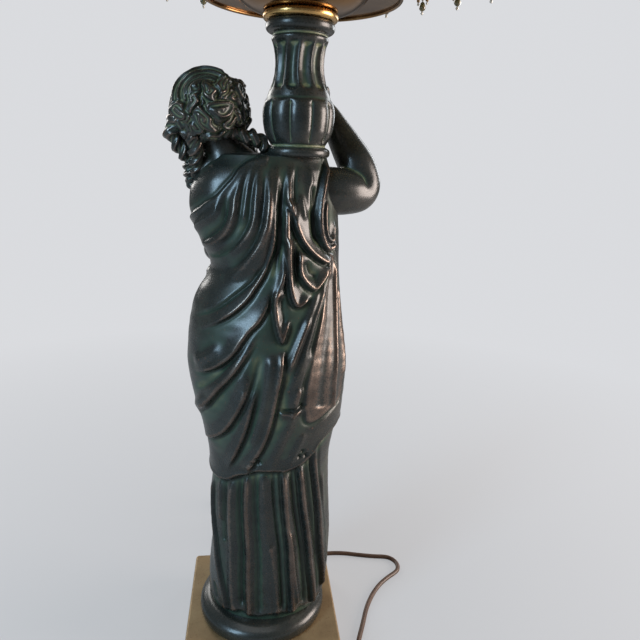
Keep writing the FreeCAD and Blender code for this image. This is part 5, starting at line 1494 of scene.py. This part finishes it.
# Each strand of a zigzag: its share of the full length and its main colour
STRANDS = ((1.0, olive), (0.80, amber), (0.66, pearl), (0.54, amber), (0.46, olive), (0.54, amber),
           (0.66, pearl), (0.80, amber))
fringe_pieces = []
for strand, (share, filler) in enumerate(STRANDS):
    low = -(FRINGE_TOP - FRINGE_TIP) * share
    drop_h, drop_r, pearl_h = (7.4, 3.1, 2.6) if strand == 0 else (3.6, 1.7, 2.2)
    tip = bead(pearl_h, pearl_h / 2, low)
    drop = bead(drop_h, drop_r, low + pearl_h + 0.2, belly=0.36)
    seeds, z = [], low + pearl_h + drop_h + 0.4
    while z + SEED_H < TUCK:
        seeds.append(bead(SEED_H - SEED_GAP, SEED_R, z, sides=6))
        z += SEED_H
    thread = tube_mesh([(0, 0, z, THREAD_R) for z in (low + 0.5, low / 2, TUCK)], 4, 1)
    seed_glass = pearl if strand in (0, 4) else filler
    for label, parts, material in (("pearl", [tip], pearl), ("drop", [drop], filler),
                                   ("seeds", seeds + [thread], seed_glass)):
        fringe_pieces.append(repeated(f"fringe_{strand}_{label}", joined(parts), material, ZIGZAGS,
                                      FRINGE_R, FRINGE_TOP, start=strand / len(STRANDS)))
for piece in fringe_pieces:
    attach(piece, "shade")
    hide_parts("bead_fringe")


# ==== Lead on the table ==========================================================================
# A brown plastic two-core lead: one length that leaves the bushing, lies in a loose curve beside
# the plinth, is wound into a tied coil in front of the figure, and ends in its plug.

CORD_D = 4.0
EXIT = (AXIS_X, 80.0, 9.0)
FREE_ROUTE = (
    EXIT, (AXIS_X, 91, 9), (-23.5, 102, 5.4), (-33, 110.5, 2), (-47, 111.5, 2), (-59, 103, 2),
    (-66.5, 89, 2), (-70, 73, 2), (-71.5, 56, 2), (-75, 39, 2), (-80.5, 23, 2), (-86.5, 8, 2),
    (-92.5, -9, 2), (-101, -25, 2), (-111, -38, 2), (-121.5, -47, 2), (-131.4, -53.8, 2),
    (-134.4, -60.3, 2), (-133.8, -67.4, 2), (-129.7, -73.3, 2), (-123.8, -76, 2), (-113.5, -77, 2),
    (-99, -80, 2), (-82, -84.5, 2), (-64, -85, 2), (-46, -80.5, 2), (-27, -75, 2.7),
)
TAIL_ROUTE = (
    (-22, -141, 7.15), (-29.3, -145.2, 6), (-33.5, -152.4, 4.4), (-33.5, -160.6, 4.4),
    (-29.3, -167.8, 6.2), (-22, -172, 8.5), (-12, -172, 8.5),
)
COIL_CENTRE = (-8.0, -108.0)
COIL_R, COIL_STEP, COIL_HALF_TURNS = 33.0, 2.25, 9
COIL_LOW, COIL_HIGH = 2.7, 7.15
POINTS_PER_HALF = 8

# The coil winds in on the table, climbs at its middle and winds out on top. The curve passes inside
# its points, so they lie a little further out.
centre_x, centre_y = COIL_CENTRE
out_again = [COIL_HALF_TURNS + 1, *range(COIL_HALF_TURNS - 1, -1, -1)]
turns = ([(COIL_R - k * COIL_STEP, COIL_LOW) for k in range(COIL_HALF_TURNS + 1)]
         + [(COIL_R - k * COIL_STEP, COIL_HIGH) for k in out_again])
widened = 2 / (1 + math.cos(math.pi / POINTS_PER_HALF / 2))
coil_points = []
for half, ((r_a, z_a), (r_b, z_b)) in enumerate(zip(turns, turns[1:])):
    for share in np.arange(POINTS_PER_HALF) / POINTS_PER_HALF:
        angle = math.pi / 2 - math.pi * (half + share)
        radius = (r_a + (r_b - r_a) * share) * widened
        coil_points.append((centre_x + radius * math.cos(angle),
                            centre_y + radius * math.sin(angle), z_a + (z_b - z_a) * share))
coil_points.append((centre_x, centre_y - COIL_R, COIL_HIGH))

lead_curve = bpy.data.curves.new("lead", "CURVE")
lead_curve.dimensions = "3D"
lead_line = lead_curve.splines.new("NURBS")
lead_points = [*FREE_ROUTE, *coil_points, *TAIL_ROUTE]
lead_line.points.add(len(lead_points) - 1)
for point, (x, y, z) in zip(lead_line.points, lead_points):
    point.co = (x * MM, y * MM, z * MM, 1)
lead_line.order_u = 3
lead_line.use_endpoint_u = True
lead_line.resolution_u = 6
lead_curve.bevel_depth = CORD_D / 2 * MM
lead_curve.bevel_resolution = 3
lead_curve.use_fill_caps = True
lead = bpy.data.objects.new("lead", lead_curve)
scene.collection.objects.link(lead)


def moulding(name, colour, roughness):
    """A dull moulded plastic or rubber."""
    sheen_and_wear = tuple(part * 1.5 + 0.004 for part in colour)
    return mottled(name, colour, roughness, scales=(60.0, 1100.0),
                   tint=("Blotch", (0.35, colour), (0.7, sheen_and_wear)),
                   rough=("Speck", (0.3, roughness * 0.85), (0.7, roughness * 1.2)),
                   relief=("Grain", 0.12, 0.0002))


lead_brown = moulding("cord_brown", (0.075, 0.042, 0.026), 0.42)
lead_curve.materials.append(lead_brown)
dress(lead_brown, "inner_cord")
dress(moulding("rubber_brown", (0.032, 0.020, 0.014), 0.6), "cord_bushing")
dress(moulding("tie_black", (0.012, 0.012, 0.012), 0.5), "cord_tie")


# ==== Plug =======================================================================================
# A moulded plug in one piece with its lead: a round strain relief swells into a flat-sided grip
# with ribs on each side, and ends in a squarish face with the two blades.

PLUG_Y, PLUG_Z = -172.0, 8.5
PLUG_BACK, PLUG_RIBS_END, PLUG_FACE = -12.0, 17.0, 22.0
PLUG_SIDES = 72
RIB_PITCH, COLLAR_PITCH = 2.6, 1.5

# Place along the plug, half width, half height and squareness of its section
PLUG_STATIONS = (
    (-12, 3.1, 3.1, 2), (-11.6, 3.7, 3.7, 2), (-8, 3.9, 3.9, 2), (-5, 4.4, 4.2, 2.1),
    (-2, 6, 5, 2.5), (1, 8.6, 6.2, 3.2), (4, 9.8, 7, 4), (14, 10.8, 8, 4.6), (17.5, 11.6, 8.4, 5),
    (21.3, 11.9, 8.5, 5), (21.9, 11.5, 8.1, 5), (22, 10.9, 7.6, 5),
)
plug_x = np.concatenate([np.linspace(PLUG_BACK, PLUG_RIBS_END, 116),
                         np.linspace(PLUG_RIBS_END + 0.2, PLUG_FACE, 22)])
plug_at, *plug_table = np.asarray(PLUG_STATIONS).T
around = np.linspace(0, 2 * math.pi, PLUG_SIDES, endpoint=False)
cosine, sine = np.cos(around), np.sin(around)


def plug_ring(x, side, up):
    return np.stack([np.full(PLUG_SIDES, x), PLUG_Y + side, PLUG_Z + up], axis=1)


def plug_section(x):
    wide, tall, square = (np.interp(x, plug_at, values) for values in plug_table)
    side, up = (np.sign(part) * np.abs(part) ** (2 / square) for part in (cosine, sine))
    ribs = (np.sin(math.pi * (x - 3.0) / RIB_PITCH) ** 2 * ease(x, 3.0, 4.0)
            * (1 - ease(x, 14.5, 16.0)))
    collars = (np.sin(math.pi * (x + 11.6) / COLLAR_PITCH) ** 2 * ease(x, -11.4, -10.8)
               * (1 - ease(x, -6.5, -5.5)))
    wide = wide - 0.5 * collars - 0.7 * ribs * ease(np.abs(side), 0.8, 0.97)
    return plug_ring(x, wide * side, (tall - 0.5 * collars) * up)


plug_rings = [plug_ring(PLUG_BACK, 0.02 * cosine, 0.02 * sine), *(plug_section(x) for x in plug_x),
              plug_ring(PLUG_FACE, 0.02 * cosine, 0.02 * sine)]
plug = add_piece("plug", np.concatenate(plug_rings), grid_faces(len(plug_rings), PLUG_SIDES),
                 moulding("plug_brown", (0.060, 0.034, 0.021), 0.38))
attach(plug, "stand")
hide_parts("plug_body")

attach(lead, "stand")
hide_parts("cord_run", "cord_coil", "cord_tail")
